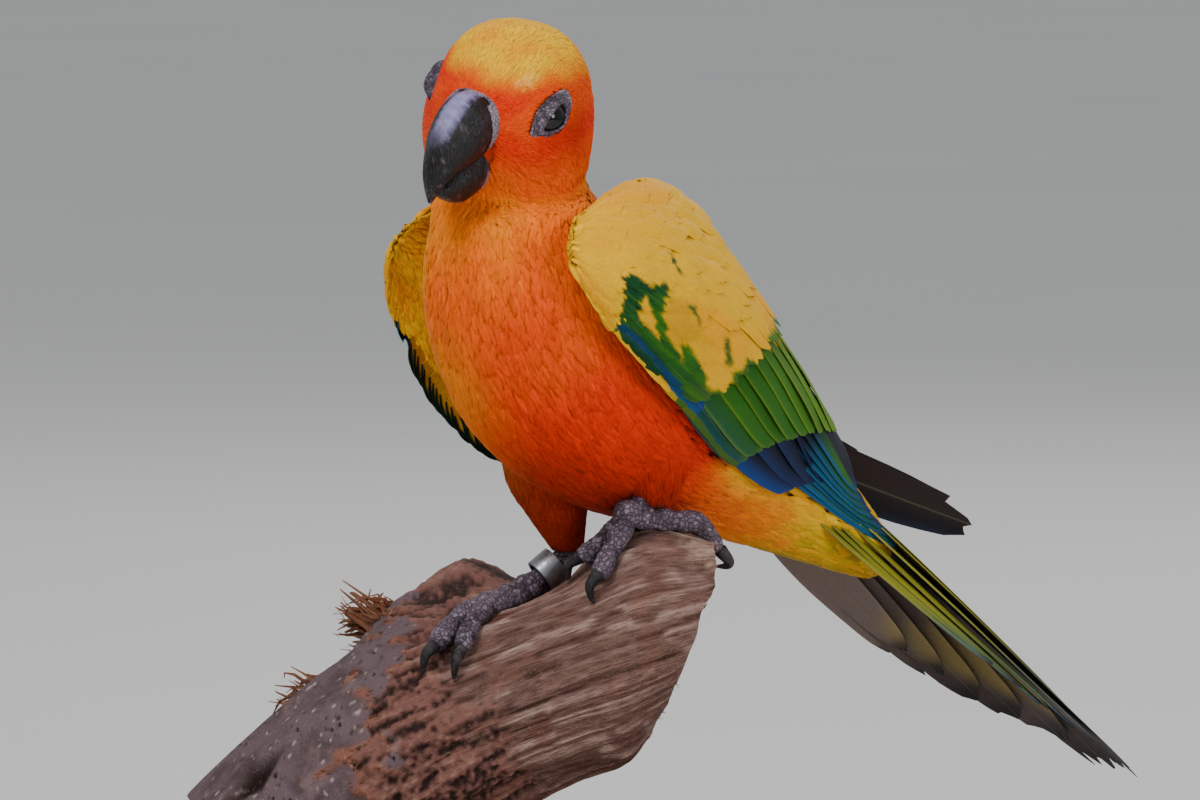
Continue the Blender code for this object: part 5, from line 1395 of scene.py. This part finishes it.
def branch_points(v, u):
    """The whole surface: a broken end, the side and the sawn end, with its zones and worked depth."""
    turned = (u + 0.5) * math.tau
    share_a, share_b = np.clip(v / CAP, 0, 1), np.clip((1 - v) / CAP, 0, 1)
    t = np.clip((v - CAP) / (1 - 2 * CAP), 0, 1) * saw_line(turned)
    here, way, ahead = bark_at(t, turned)
    places = np.stack([np.cos(turned), np.sin(turned), 0 * t], -1)
    mild = noise_at(here / 9.0) + 0.5 * noise_at(here / 4.0 + 5)
    crumb = noise_at(np.stack([places[..., 0] * 11, places[..., 1] * 11, t * 16 + mild], -1)) + 0.6 * noise_at(here / 1.2)
    grain = noise_at(np.stack([places[..., 0] * 9, places[..., 1] * 9, t * 4 + 1.2 * mild], -1))
    fine_grain = noise_at(np.stack([places[..., 0] * 34, places[..., 1] * 34, t * 7 + mild], -1))
    border = t - 0.53 - 0.13 * smooth(off_angle(turned, 0), 0, 90) * smooth(off_angle(turned, 0), 180, 110) - 0.09 * mild
    bark = smooth(border, -0.006, 0.006)
    lip = np.exp(-((border - 0.006) / 0.014) ** 2) * smooth(mild + 0.3 * crumb, -0.35, 0.3)
    hump = np.exp(-((t - 0.38) / 0.11) ** 2 - (off_angle(turned, -42) / 38) ** 2)
    torn = np.clip(hump + smooth(t + 0.08 * mild, 0.40, 0.50), 0, 1) * (1 - bark)
    fibrous = (1 - torn) * (1 - bark)
    chips = -0.95 * smooth(crumb, 0.3, -0.7) + 0.3 * smooth(crumb, 0.1, 0.7) - 0.35 * smooth(fine_grain, 0.1, -0.4)
    grooves = 0.7 * np.abs(grain) + 0.5 * fine_grain - 0.45
    cracks = smooth(np.abs(noise_at(here * (0.16, 0.16, 0.45) + 31)), 0.035, 0.0) * smooth(mild, 0.1, -0.5)
    depth = (bark * (0.15 + 0.10 * crumb - 1.2 * cracks) + torn * chips + fibrous * grooves
             + 0.9 * lip * (1 - 0.5 * bark))
    holes = smooth(np.linalg.norm(places[..., :2] * 20 - 20 * np.array((math.cos(0.75), math.sin(0.75))), axis=-1)
                   + 60 * np.abs(t - 0.82), 4.5, 1.0)
    here = here + way * (depth - 2.5 * holes)[..., None]
    # Both ends close towards their middle: one breaks into fibres, the other is cut flat.
    middle_a = bark_at(0 * t, turned)[0]
    heart = bark_at(np.zeros(2), np.array((0.5, 0.5 + math.pi)))[0].mean(axis=0)
    broken = heart + (middle_a - heart) * share_a[..., None]
    jag = 2.2 * noise_at(broken / 3.1) + 1.1 * noise_at(broken / 1.2) - 3.5 * (1 - share_a ** 2)
    here = np.where((share_a < 1)[..., None], broken - ahead * jag[..., None] * (1 - share_a ** 6)[..., None], here)
    ends = saw_line(turned)
    rim = bark_at(ends, turned)[0]
    core = (bark_at(saw_line(np.array((0.0, math.pi))), np.array((0.0, math.pi)))[0]).mean(axis=0)
    here = np.where((share_b < 1)[..., None], core + (rim - core) * share_b[..., None], here)
    zones = dict(t=t, turned=turned, bark=bark, lip=lip, torn=torn, fibrous=fibrous, crumb=crumb, mild=mild,
                 grain=grain, fine=fine_grain, cracks=cracks, holes=holes, broken=1 - share_a, sawn=1 - share_b)
    return here, zones


def branch_tint(z):
    speck = smooth(noise_at(np.stack([z["t"] * 110, np.cos(z["turned"]) * 26, np.sin(z["turned"]) * 26], -1)), 0.50, 0.62)
    bark = mix(hue(104, 86, 90), hue(74, 58, 60), smooth(z["mild"] + 0.3 * z["crumb"], -0.4, 0.8))
    bark = mix(mix(bark, hue(190, 170, 164), 0.8 * speck), hue(34, 22, 22), z["cracks"])
    bark = mix(bark, hue(92, 60, 50), 0.6 * smooth(z["mild"], 0.3, 0.8))
    bark = mix(bark, hue(140, 120, 124), 0.5 * smooth(z["mild"] - 0.4 * z["crumb"], 0.2, 0.9))
    torn = mix(hue(128, 86, 76), hue(46, 28, 25), smooth(z["crumb"], 0.15, -0.5))
    torn = mix(torn, hue(172, 134, 116), 0.6 * smooth(z["crumb"], 0.3, 0.9))
    streak = z["grain"] + 0.8 * z["fine"]
    fibre = mix(hue(124, 92, 82), hue(178, 148, 136), smooth(streak, 0.0, 0.8))
    fibre = mix(fibre, hue(74, 48, 40), smooth(streak, -0.1, -0.8))
    fibre = mix(fibre, hue(132, 76, 58), 0.4 * smooth(z["mild"], 0.0, 0.7))
    # painted shade: the bare wood darkens along the branch's lower side
    fibre = mix(fibre, hue(56, 34, 30), 0.5 * smooth(np.sin(z["turned"] * 1.0 - 1.2) + 0.4 * z["mild"], 0.7, 1.2))
    pale = smooth(z["t"] + 0.05 * z["mild"], 0.10, 0.03) * smooth(np.abs(off_angle(z["turned"], -5)) + 20 * z["crumb"], 42, 20)
    fibre = mix(fibre, hue(186, 156, 136), 0.8 * pale)
    tint = bark * z["bark"][..., None] + torn * z["torn"][..., None] + fibre * z["fibrous"][..., None]
    tint = mix(tint, hue(150, 92, 68), 0.7 * z["lip"] * smooth(z["crumb"], -0.6, 0.3))
    # painted shade: the hole's dent is painted near black
    tint = mix(tint, hue(36, 18, 14), z["holes"])
    tint = mix(tint, mix(hue(150, 106, 78), hue(64, 36, 28), smooth(z["crumb"], 0.3, -0.4)), smooth(z["broken"], 0.0, 0.08))
    rings = mix(hue(168, 128, 94), hue(122, 82, 58), smooth(np.sin((1 - z["sawn"]) * 75 + 2 * z["mild"]), -0.4, 0.9))
    return mix(tint, rings, smooth(z["sawn"], 0.0, 0.03))


# %% Wood finish and the branch
wood, tree, shader = finish_of("weathered_wood", 0.85, Specular_IOR_Level=0.2)
here = put(tree, "TexCoord").outputs["Object"]
tint = put(tree, "Attribute", attribute_name="Tint").outputs["Color"]
fibres = put(tree, "Attribute", attribute_name="Fibre").outputs["Fac"]
streaks = place_group(tree, patchy, {"Place": put(tree, "UVMap", uv_map="OFBake").outputs[0], "Scale": 24.0,
                                     "Stretch": (2.6, 0.16, 1.0)})
dusty = place_group(tree, patchy, {"Place": here, "Scale": 220.0})
colour = blend(tree, sum_up(tree, 'MULTIPLY', fibres, fade(tree, streaks["Fine"], 0.55, 0.38, 0.0, 0.55)), tint,
               rgba(hue(52, 34, 28)))
colour = blend(tree, fade(tree, dusty["Fine"], 0.55, 0.78, 0.0, 0.35), colour, rgba(hue(170, 146, 130)))
tree.links.new(colour, shader["Base Color"])
relief = sum_up(tree, 'ADD', sum_up(tree, 'MULTIPLY', fibres, streaks["Fine"]), dusty["Fine"])
tree.links.new(bump(tree, relief, 0.8, 0.0008), shader["Normal"])

bm = grid(SIDES, RINGS)
flat = np.array([vert.co for vert in bm.verts])
points, zones = branch_points(flat[:, 1] + 0.5, flat[:, 0] + 0.5)
tints = np.clip(branch_tint(zones), 0, 1)
fibre_share = np.clip(zones["fibrous"] + 0.4 * zones["torn"], 0, 1) * (1 - zones["sawn"])
ring_spare = bm.verts.layers.float_color.new("Tint")
share_spare = bm.verts.layers.float.new("Fibre")
for vert, point, colour, share in zip(bm.verts, points, tints, fibre_share):
    vert.co, vert[ring_spare], vert[share_spare] = point, (*colour, 1.0), share
bmesh.ops.remove_doubles(bm, verts=bm.verts[:], dist=1e-3)
bmesh.ops.dissolve_degenerate(bm, edges=bm.edges[:], dist=1e-4)
bark_tree = BVHTree.FromBMesh(bm)
branch = hand_over(bmesh_piece("branch_bark", bm, wood, 50), "weathered_wood", "perch_branch")

# %% [markdown]
# Loose fibres stand where twigs were torn off and where the bark lifts: thin pointed strands from the same lock
# shape as the plumes, but round, stiff and each bent its own way.

# %% Splinters and loose strands
def strands(name, starts, ways, lengths, radii, colours, seed):
    draw = np.random.default_rng(seed)
    across, along, above, faces = lock
    v, count = along[None, :, None], len(starts)
    bow = 0.28 * draw.normal(size=(count, 3)) * lengths[:, None]
    middle, end = starts + ways * lengths[:, None] * 0.5 + bow, starts + ways * lengths[:, None] - 0.4 * bow
    line = starts[:, None] * (1 - v) ** 2 + middle[:, None] * 2 * v * (1 - v) + end[:, None] * v * v
    ahead = unit((middle - starts)[:, None] * (1 - v) + (end - middle)[:, None] * v)
    beside = unit(np.cross(ahead, (0.31, 0.52, 0.80)))
    up = np.cross(beside, ahead)
    thick = (radii[:, None] * (1.1 - 0.95 * along[None]))[..., None]
    line = line + (beside * across[None, :, None] + up * (above[None, :, None] * 1.7 - 0.6)) * thick
    tint = colours[:, None] * (0.75 + 0.35 * v)
    steps = (np.arange(count) * len(along))[:, None, None]
    sheet = np.broadcast_to(np.stack([across * 0.1 + 0.5, along * 0.2 + 0.4], -1), (count, len(along), 2))
    piece = mesh_piece(name, line.reshape(-1, 3), (faces[None] + steps).reshape(-1, 3), wood,
                       [("OFBake", sheet.reshape(-1, 2))], np.clip(tint, 0, 1).reshape(-1, 3))
    layer = piece.data.attributes.new("Fibre", 'FLOAT', 'POINT')
    layer.data.foreach_set("value", np.full(len(piece.data.vertices), 0.6, np.float32))
    return hand_over(piece, "weathered_wood")


draw = np.random.default_rng(77)
starts, ways, lengths, radii = [], [], [], []
for spot, turned, count, reach, spread in ((0.565, -40, 150, 11.0, 0.42), (0.69, -28, 70, 9.0, 0.35)):
    t = spot + 0.016 * draw.normal(size=count)
    a = np.radians(turned + 7 * draw.normal(size=count))
    here, way, ahead = bark_at(t, a)
    starts.append(here - way * 1.0)
    ways.append(unit(0.55 * way + 0.75 * ahead + spread * draw.normal(size=(count, 3))))
    lengths.append(reach * draw.uniform(0.2, 1.0, count) ** 1.6 + 1.5)
    radii.append(draw.uniform(0.25, 0.95, count))
loose = np.where((zones["lip"] > 0.5) & (zones["sawn"] == 0))[0]
ragged = np.where((zones["broken"] > 0) & (zones["broken"] < 0.5))[0]
for where, count, reach in ((loose, 300, 2.6), (ragged, 160, 1.8)):
    pick = draw.choice(where, count)
    here, way, ahead = bark_at(zones["t"][pick], zones["turned"][pick])
    starts.append(points[pick] - way * 0.3)
    ways.append(unit(ahead * draw.choice((-1, 1), (count, 1)) * (1 if where is loose else 0.0)
                     - ahead * (0 if where is loose else 1.0) + 0.25 * way + 0.3 * draw.normal(size=(count, 3))))
    lengths.append(reach * draw.uniform(0.3, 1.0, count))
    radii.append(draw.uniform(0.10, 0.28, count))
colours = mix(hue(150, 80, 50), hue(178, 128, 96), draw.random(sum(len(s) for s in starts)))
strands("branch_fibres", np.concatenate(starts), np.concatenate(ways), np.concatenate(lengths),
        np.concatenate(radii), colours, 5)

# %% [markdown]
# ## Feet
# Parrots grip with two toes ahead and two behind. Every toe is a fleshy tube that lies along the wood: rings swept
# along a line that is held off the bark, thicker at each joint's pad, with a row of broad scutes stepped along its
# back and pebbles on its sides. The claws are long hooks of dark horn. A tube of many rings keeps the bends round,
# which a chain of a few cylinders wouldn't.

# %% Where each foot stands
def bark_solid():
    mesh = bpy.data.objects["perch_branch"].data
    points = [Vector(v.co) * 1000 - Vector(FEET_SPOT) for v in mesh.vertices]
    return BVHTree.FromPolygons(points, [list(face.vertices) for face in mesh.polygons])


FEET = {
    1: ((14.0, 2.5, 18.0), (13.5, -5.0, 13.5), ((4.0, -8.5, 2.5, 2.2), (12.0, -12.5, 0.5, 2.2),
                                                (18.5, 11.0, 6.0, 2.3), (7.0, 9.0, 5.0, 1.9))),
    -1: ((-9.0, -0.8, 3.0), (-13.0, -8.8, -4.0), ((-11.0, -38.5, -14.5, 2.4), (-7.0, -34.0, -16.5, 2.1),
                                                  (-24.5, 2.0, -12.0, 1.9), (-12.0, 10.0, -12.0, 2.0)))}
CLAW_LENGTH, CLAW_RADIUS, HUB_RADIUS = 8.5, 1.35, 3.0
perch = bark_solid()


def rest_on(point, height):
    """The same point, lifted until it stands at least this high off the bark."""
    near, normal, _, distance = perch.find_nearest(point)
    if (point - near).dot(normal) < 0 or distance < height:
        return near + normal * height
    return point


def toe_line(hub, end, radius, steps=7):
    """The middle line of a toe, from the hub over the bark to where its claw starts."""
    points = []
    for k in range(steps + 1):
        f = k / steps
        straight = hub.lerp(end, f) + Vector((0, 0, 2.5 * math.sin(f * math.pi)))
        near, normal, _, _ = perch.find_nearest(straight)
        points.append(rest_on(straight.lerp(near + normal * (radius + 0.45), float(smooth(f / 0.55))), radius + 0.45))
    for _ in range(2):
        middles = [(a + b * 2 + c) / 4 for a, b, c in zip(points, points[1:], points[2:])]
        points[1:-1] = [rest_on(middle, radius + 0.45) for middle in middles]
    return points


# %% Swept tubes
def swept(line, ups, radius_at, sides=24, rings=90):
    """A closed tube along a line; radius_at(f, turned) gives its radius, turned is 0 on its back."""
    def shape(u, v):
        f, turned = v, u * math.tau
        here, up = curve(line, f), unit(curve(ups, f))
        ahead = unit(curve(line, np.minimum(f + 0.01, 1)) - curve(line, np.maximum(f - 0.01, 0)))
        beside = unit(np.cross(ahead, up))
        up = np.cross(beside, ahead)
        return here + (up * np.cos(turned)[..., None] + beside * np.sin(turned)[..., None]) * radius_at(
            f, turned)[..., None]
    bm = bend(grid(sides, rings), shape)
    bmesh.ops.remove_doubles(bm, verts=bm.verts[:], dist=1e-4)
    bmesh.ops.holes_fill(bm, edges=[edge for edge in bm.edges if edge.is_boundary], sides=0)
    return bm


def scutes(f, turned, length, step=1.5, height=0.16):
    """Broad plates across the back, each lifting a little at its far edge, and creases below."""
    phase = (f * length / step) % 1.0
    on_back = smooth(np.cos(turned), 0.15, 0.6)
    below = smooth(-np.cos(turned), 0.2, 0.8)
    return (height * (phase ** 1.5) * smooth(phase, 1.0, 0.86) * on_back
            - 0.14 * below * smooth(np.abs(phase - 0.5), 0.38, 0.5))


def together(pieces):
    whole = bmesh.new()
    whole.loops.layers.uv.new("OFBake")
    for piece in pieces:
        spare = bpy.data.meshes.new("spare")
        piece.to_mesh(spare)
        piece.free()
        whole.from_mesh(spare)
        bpy.data.meshes.remove(spare)
    return whole


def capped(f, thin=0.02):
    """Rounds a tube's two ends."""
    return np.sqrt(np.clip(1 - np.clip((thin - f) / thin, 0, 1) ** 2, 0, 1) + 1e-4) * np.sqrt(
        np.clip(1 - np.clip((f - 1 + thin) / thin, 0, 1) ** 2, 0, 1) + 1e-4)


def claw_tube(start, ahead, normal):
    line, ups = [], []
    for k in range(9):
        f = k / 8
        turn_by = f * 1.22
        point = (start + ahead * (CLAW_LENGTH * math.sin(turn_by) / 1.22)
                 - normal * (CLAW_LENGTH * (1 - math.cos(turn_by)) / 1.22) + normal * 1.4 * math.sin(f * math.pi) ** 2)
        line.append(rest_on(point, CLAW_RADIUS * (1 - f) ** 0.8 + 0.45))
        ups.append(ahead * math.sin(turn_by) + normal * math.cos(turn_by))
    def radius_at(f, turned):
        return ((CLAW_RADIUS + 0.15) * (1 - f) ** 0.8 + 0.12) * (1 + 0.12 * np.cos(turned)) * capped(f, 0.05)
    return swept(line, ups, radius_at, 14, 30)


# %% Feet and claws
def foot_tint(points):
    patch, small = cloudy(points, 5.0, 1.7), cloudy(points, 1.6, 6.1)
    tint = mix(hue(96, 80, 94), hue(58, 46, 56), smooth(patch + 0.5 * small, -0.5, 0.9))
    return mix(tint, hue(150, 132, 148), 0.5 * smooth(small, 0.3, 1.0))


for side, mark in ((1, "l"), (-1, "r")):
    ankle, hub, toes = Vector(FEET[side][0]), Vector(FEET[side][1]), FEET[side][2]
    lean = (hub - ankle).normalized()
    length = (hub - ankle).length + 4
    shank = [ankle - lean * 2, ankle, hub.lerp(ankle, 0.5), hub, hub + lean * 1.5]
    pieces = [swept(shank, [(0.3, -1, 0.2)] * 5, lambda f, turned: (
        2.25 * (1 + 0.10 * np.cos(f * math.tau)) + scutes(f, turned, length, 1.7)) * capped(f), 24, 60)]
    middle = rest_on(hub, HUB_RADIUS + 0.1)
    palm = [middle + Vector((0, 0, h)) for h in (-2.9, -1.2, 1.2, 2.9)]
    pieces.append(swept(palm, [(0, -1, 0)] * 4, lambda f, turned: 3.15 * capped(f, 0.5), 24, 24))
    claws = []
    for i, (x, y, z, radius) in enumerate(toes):
        line = toe_line(hub, Vector((x, y, z)), radius)
        ups = [perch.find_nearest(point)[1] for point in line]
        sunk = [point - up * 0.3 for point, up in zip(line, ups)]
        reach = sum((b - a).length for a, b in zip(line, line[1:]))
        phase = i * 0.7
        pieces.append(swept(sunk, ups, lambda f, turned: (
            (radius + 0.12) * (1.04 - 0.20 * f + 0.07 * np.cos(f * reach / 7.0 * math.tau + phase)
                               + 0.05 * smooth(-np.cos(turned), 0, 1)) + scutes(f, turned, reach)) * capped(f, 0.06)))
        ahead = (line[-1] - line[-2]).normalized()
        claws.append(claw_tube(line[-1] - ahead * 0.7, ahead, perch.find_nearest(line[-1])[1]))
    bm = together(pieces)
    points = np.array([vert.co for vert in bm.verts])
    foot = bmesh_piece("foot_scaled_" + mark, bm, foot_skin)
    paint(foot, foot_tint(points))
    hand_over(foot, "grey_scales", "foot_" + mark)
    bm = together(claws)
    points = np.array([vert.co for vert in bm.verts])
    horns = bmesh_piece("claws_" + mark, bm, horn)
    paint(horns, mix(hue(16, 13, 15), hue(54, 46, 50), smooth(cloudy(points, 2.5, 3.3), -0.3, 0.9)))
    hand_over(horns, "claw_horn", *["claw_%s_%d" % (mark, i) for i in (1, 2, 3, 4)])

# %% [markdown]
# The ring on the right leg is a plain closed band of dull grey metal, rubbed bright along its rims. Its profile is
# a rounded rectangle spun once about the shank.

# %% Leg ring
worn_metal, tree, shader = finish_of("worn_ring_metal", 0.42, Metallic=1.0)
here = put(tree, "TexCoord").outputs["Object"]
tarnish = place_group(tree, patchy, {"Place": here, "Scale": 300.0})
rubbed = put(tree, "Attribute", attribute_name="Worn").outputs["Fac"]
dull = blend(tree, fade(tree, tarnish["Slow"], 0.35, 0.65), rgba(hue(84, 86, 92)), rgba(hue(118, 120, 126)))
tree.links.new(blend(tree, rubbed, dull, rgba(hue(176, 178, 184))), shader["Base Color"])
tree.links.new(fade(tree, tarnish["Fine"], 0.35, 0.65, 0.30, 0.55), shader["Roughness"])
tree.links.new(bump(tree, tarnish["Fine"], 0.3, 0.00008), shader["Normal"])

ankle, hub = Vector(FEET[-1][0]), Vector(FEET[-1][1])
profile = []
for x, z, start in ((3.75, 2.3, 0), (3.25, 2.35, 90), (3.25, -2.35, 180), (3.75, -2.3, 270)):
    for step in range(5):
        angle = math.radians(start + 22.5 * step)
        profile.append((x + 0.14 * math.cos(angle), z + 0.14 * math.sin(angle)))
bm = bmesh.new()
corners = [bm.verts.new((x, 0, z)) for x, z in profile]
edges = [bm.edges.new((a, b)) for a, b in zip(corners, corners[1:] + corners[:1])]
bmesh.ops.spin(bm, geom=corners + edges, cent=(0, 0, 0), axis=(0, 0, 1), angle=math.tau, steps=72, use_merge=True)
bmesh.ops.remove_doubles(bm, verts=bm.verts[:], dist=1e-4)
worn = np.array([smooth(abs(vert.co.z), 2.1, 2.42) for vert in bm.verts])
aim = (ankle - hub).normalized().to_track_quat('Z', 'X').to_matrix().to_4x4()
bmesh.ops.transform(bm, verts=bm.verts[:], matrix=Matrix.Translation(hub.lerp(ankle, 0.52)) @ aim)
ring = bmesh_piece("ring_worn", bm, worn_metal, 50)
layer = ring.data.attributes.new("Worn", 'FLOAT', 'POINT')
layer.data.foreach_set("value", worn.astype(np.float32))
hand_over(ring, "ring_metal", "leg_band")

# %% [markdown]
# ## The stand
# A flat wooden base with rounded corners and two short steel rods that run up into the branch. The base is a
# bevelled block with grain drawn along its length; the rods are turned, with a small collar where each enters the
# wood.

# %% Oiled wood and brushed steel
oiled, tree, shader = finish_of("oiled_wood", 0.42, Specular_IOR_Level=0.4, Coat_Weight=0.15, Coat_Roughness=0.3)
here = put(tree, "TexCoord").outputs["Object"]
grainy = place_group(tree, patchy, {"Place": here, "Scale": 60.0, "Stretch": (1.0, 0.07, 1.0)})
pores = place_group(tree, patchy, {"Place": here, "Scale": 260.0, "Stretch": (1.0, 0.05, 1.0)})
colour = blend(tree, fade(tree, grainy["Slow"], 0.35, 0.65), rgba(hue(92, 54, 30)), rgba(hue(134, 86, 50)))
colour = blend(tree, fade(tree, pores["Fine"], 0.60, 0.72, 0.0, 0.6), colour, rgba(hue(50, 28, 16)))
tree.links.new(colour, shader["Base Color"])
tree.links.new(fade(tree, grainy["Fine"], 0.3, 0.7, 0.34, 0.55), shader["Roughness"])
tree.links.new(bump(tree, pores["Fine"], 0.25, 0.0002), shader["Normal"])

steel, tree, shader = finish_of("brushed_steel_rods", 0.3, Metallic=1.0)
here = put(tree, "TexCoord").outputs["Object"]
lines = place_group(tree, patchy, {"Place": here, "Scale": 300.0, "Stretch": (0.3, 0.3, 4.0)})
tree.links.new(blend(tree, fade(tree, lines["Slow"], 0.3, 0.7), rgba(hue(150, 152, 156)), rgba(hue(196, 197, 200))),
               shader["Base Color"])
tree.links.new(fade(tree, lines["Fine"], 0.3, 0.7, 0.22, 0.42), shader["Roughness"])
tree.links.new(bump(tree, lines["Fine"], 0.2, 0.0001), shader["Normal"])

# %% Base
BASE_SIZE, BASE_CORNER, BASE_EDGE = Vector((120.0, 150.0, 10.0)), 12.0, 1.5
bm = bmesh.new()
middle = Vector((-FEET_SPOT[0], -FEET_SPOT[1], -FEET_SPOT[2] + BASE_SIZE.z / 2))
bmesh.ops.create_cube(bm, size=1.0, matrix=Matrix.Translation(middle) @ Matrix.Diagonal((*BASE_SIZE, 1.0)))
uprights = [edge for edge in bm.edges if abs((edge.verts[0].co - edge.verts[1].co).z) > 1]
bmesh.ops.bevel(bm, geom=uprights, offset=BASE_CORNER, segments=16, profile=0.5, affect='EDGES', material=-1)
rims = [edge for edge in bm.edges if abs(edge.verts[0].co.z - edge.verts[1].co.z) < 1e-3
        and len(edge.link_faces) == 2 and edge.calc_face_angle() > 1]
bmesh.ops.bevel(bm, geom=rims, offset=BASE_EDGE * 0.9, segments=5, profile=0.5, affect='EDGES', material=-1)
hand_over(bmesh_piece("base_oiled", bm, oiled, 40), "oiled_wood", "stand_base")

# %% Rods
ROD_RADIUS, ROD_SPOTS = 4.0, ((-9.0, -19.0), (-25.0, -35.0))
for i in (1, 2):
    low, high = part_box("stand_rod_%d" % i)
    low, high = np.array(low) * 1000 - FEET_SPOT, np.array(high) * 1000 - FEET_SPOT
    x, y = (low[0] + high[0]) / 2, (low[1] + high[1]) / 2
    foot_z, top_z = low[2], high[2]
    outline = [(0.0, foot_z), (3.95, foot_z), (3.95, foot_z + 0.2), (6.3, foot_z + 0.35), (6.5, foot_z + 0.7),
               (6.3, foot_z + 1.3), (4.6, foot_z + 2.0), (3.95, foot_z + 2.4)]
    outline += [(3.95, foot_z + 2.4 + (top_z - foot_z - 2.4) * k / 8) for k in range(1, 9)] + [(0.0, top_z)]
    bm = bmesh.new()
    corners = [bm.verts.new((r, 0, z)) for r, z in outline]
    edges = [bm.edges.new(pair) for pair in zip(corners, corners[1:])]
    bmesh.ops.spin(bm, geom=corners + edges, cent=(0, 0, 0), axis=(0, 0, 1), angle=math.tau, steps=48,
                   use_merge=True)
    bmesh.ops.remove_doubles(bm, verts=bm.verts[:], dist=1e-4)
    bmesh.ops.translate(bm, verts=bm.verts[:], vec=(x, y, 0))
    hand_over(bmesh_piece("rod_brushed_%d" % i, bm, steel, 40), "brushed_metal", "stand_rod_%d" % i)
    print("rod %d: %.1f to %.1f mm high" % (i, foot_z + FEET_SPOT[2], top_z + FEET_SPOT[2]))

# %% [markdown]
# ## Stage, light and camera
# A plain pale floor that runs far enough to fill the view, one large soft light above and to the left as in the open shade of
# the photograph, a weak fill from the right and a low light from behind for the outline. The camera stands where
# the photographer's did: 45 degrees round to the bird's front left and 5 above, 1.6 m away with a long lens.

# %% Floor
def stage_piece(name, bm, finish):
    obj = bmesh_piece(name, bm, finish)
    obj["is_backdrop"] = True
    return obj


floor_mat, tree, shader = finish_of("pale_floor", 0.85)
here = put(tree, "TexCoord").outputs["Object"]
uneven = place_group(tree, patchy, {"Place": here, "Scale": 3.0})
tree.links.new(blend(tree, uneven["Slow"], rgba(hue(214, 214, 210)), rgba(hue(224, 223, 219))), shader["Base Color"])
floor = bmesh.new()
bmesh.ops.create_grid(floor, x_segments=1, y_segments=1, size=40000,
                      matrix=Matrix.Translation((-FEET_SPOT[0], -FEET_SPOT[1], -FEET_SPOT[2])))
stage_piece("floor", floor, floor_mat)


# %% Lights
def soft_light(name, place, aim, size, watts, colour=(1, 1, 1)):
    data = bpy.data.lights.new(name, 'AREA')
    data.shape, data.size, data.energy, data.color = 'DISK', size, watts, colour
    obj = bpy.data.objects.new(name, data)
    obj.location = place
    obj.rotation_euler = (Vector(aim) - Vector(place)).to_track_quat('-Z', 'Y').to_euler()
    bpy.context.scene.collection.objects.link(obj)


MIDDLE = (0.0, 0.02, 0.13)
soft_light("key", (0.25, -0.75, 1.05), MIDDLE, 0.45, 9.5)
soft_light("fill", (0.92, -0.1, 0.37), MIDDLE, 0.35, 2.6)
soft_light("rim", (-0.5, 0.9, 0.9), MIDDLE, 0.6, 4.0)
world = bpy.data.worlds.new("studio")
world.use_nodes = True
world.node_tree.nodes["Background"].inputs[0].default_value = (0.93, 0.95, 1.0, 1.0)
world.node_tree.nodes["Background"].inputs[1].default_value = 0.5
bpy.context.scene.world = world

# %% Camera
AZIMUTH, ELEVATION, DISTANCE, PIXELS_PER_MM = math.radians(45), math.radians(5), 1600.0, 4.7
back = Vector((math.sin(AZIMUTH) * math.cos(ELEVATION), -math.cos(AZIMUTH) * math.cos(ELEVATION),
               math.sin(ELEVATION)))
rise = Vector((-math.sin(AZIMUTH) * math.sin(ELEVATION), math.cos(AZIMUTH) * math.sin(ELEVATION),
               math.cos(ELEVATION)))
aim = rise * (170 / PIXELS_PER_MM)
lens = bpy.data.cameras.new("camera")
lens.sensor_width = 36.0
lens.lens = 36.0 * DISTANCE / (1200 / PIXELS_PER_MM)
lens.clip_start, lens.clip_end = 0.05, 200.0
camera = bpy.data.objects.new("camera", lens)
camera.location = set_down(aim + back * DISTANCE)
camera.rotation_euler = back.to_track_quat('Z', 'Y').to_euler()
bpy.context.scene.collection.objects.link(camera)
bpy.context.scene.camera = camera
print("camera height %.0f mm, lens %.0f mm" % (camera.location.z * 1000, lens.lens))

# %% [markdown]
# ## The two sizes
# The solids' box and the dressed bird's box are printed side by side, in millimetres.

# %% Finish
dressed_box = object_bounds()
for axis, low, high, new_low, new_high in zip("XYZ", *cad_box, *dressed_box):
    print("%s solids %.1f to %.1f mm, dressed %.1f to %.1f" % (axis, *(1000 * v for v in (low, high, new_low, new_high))))
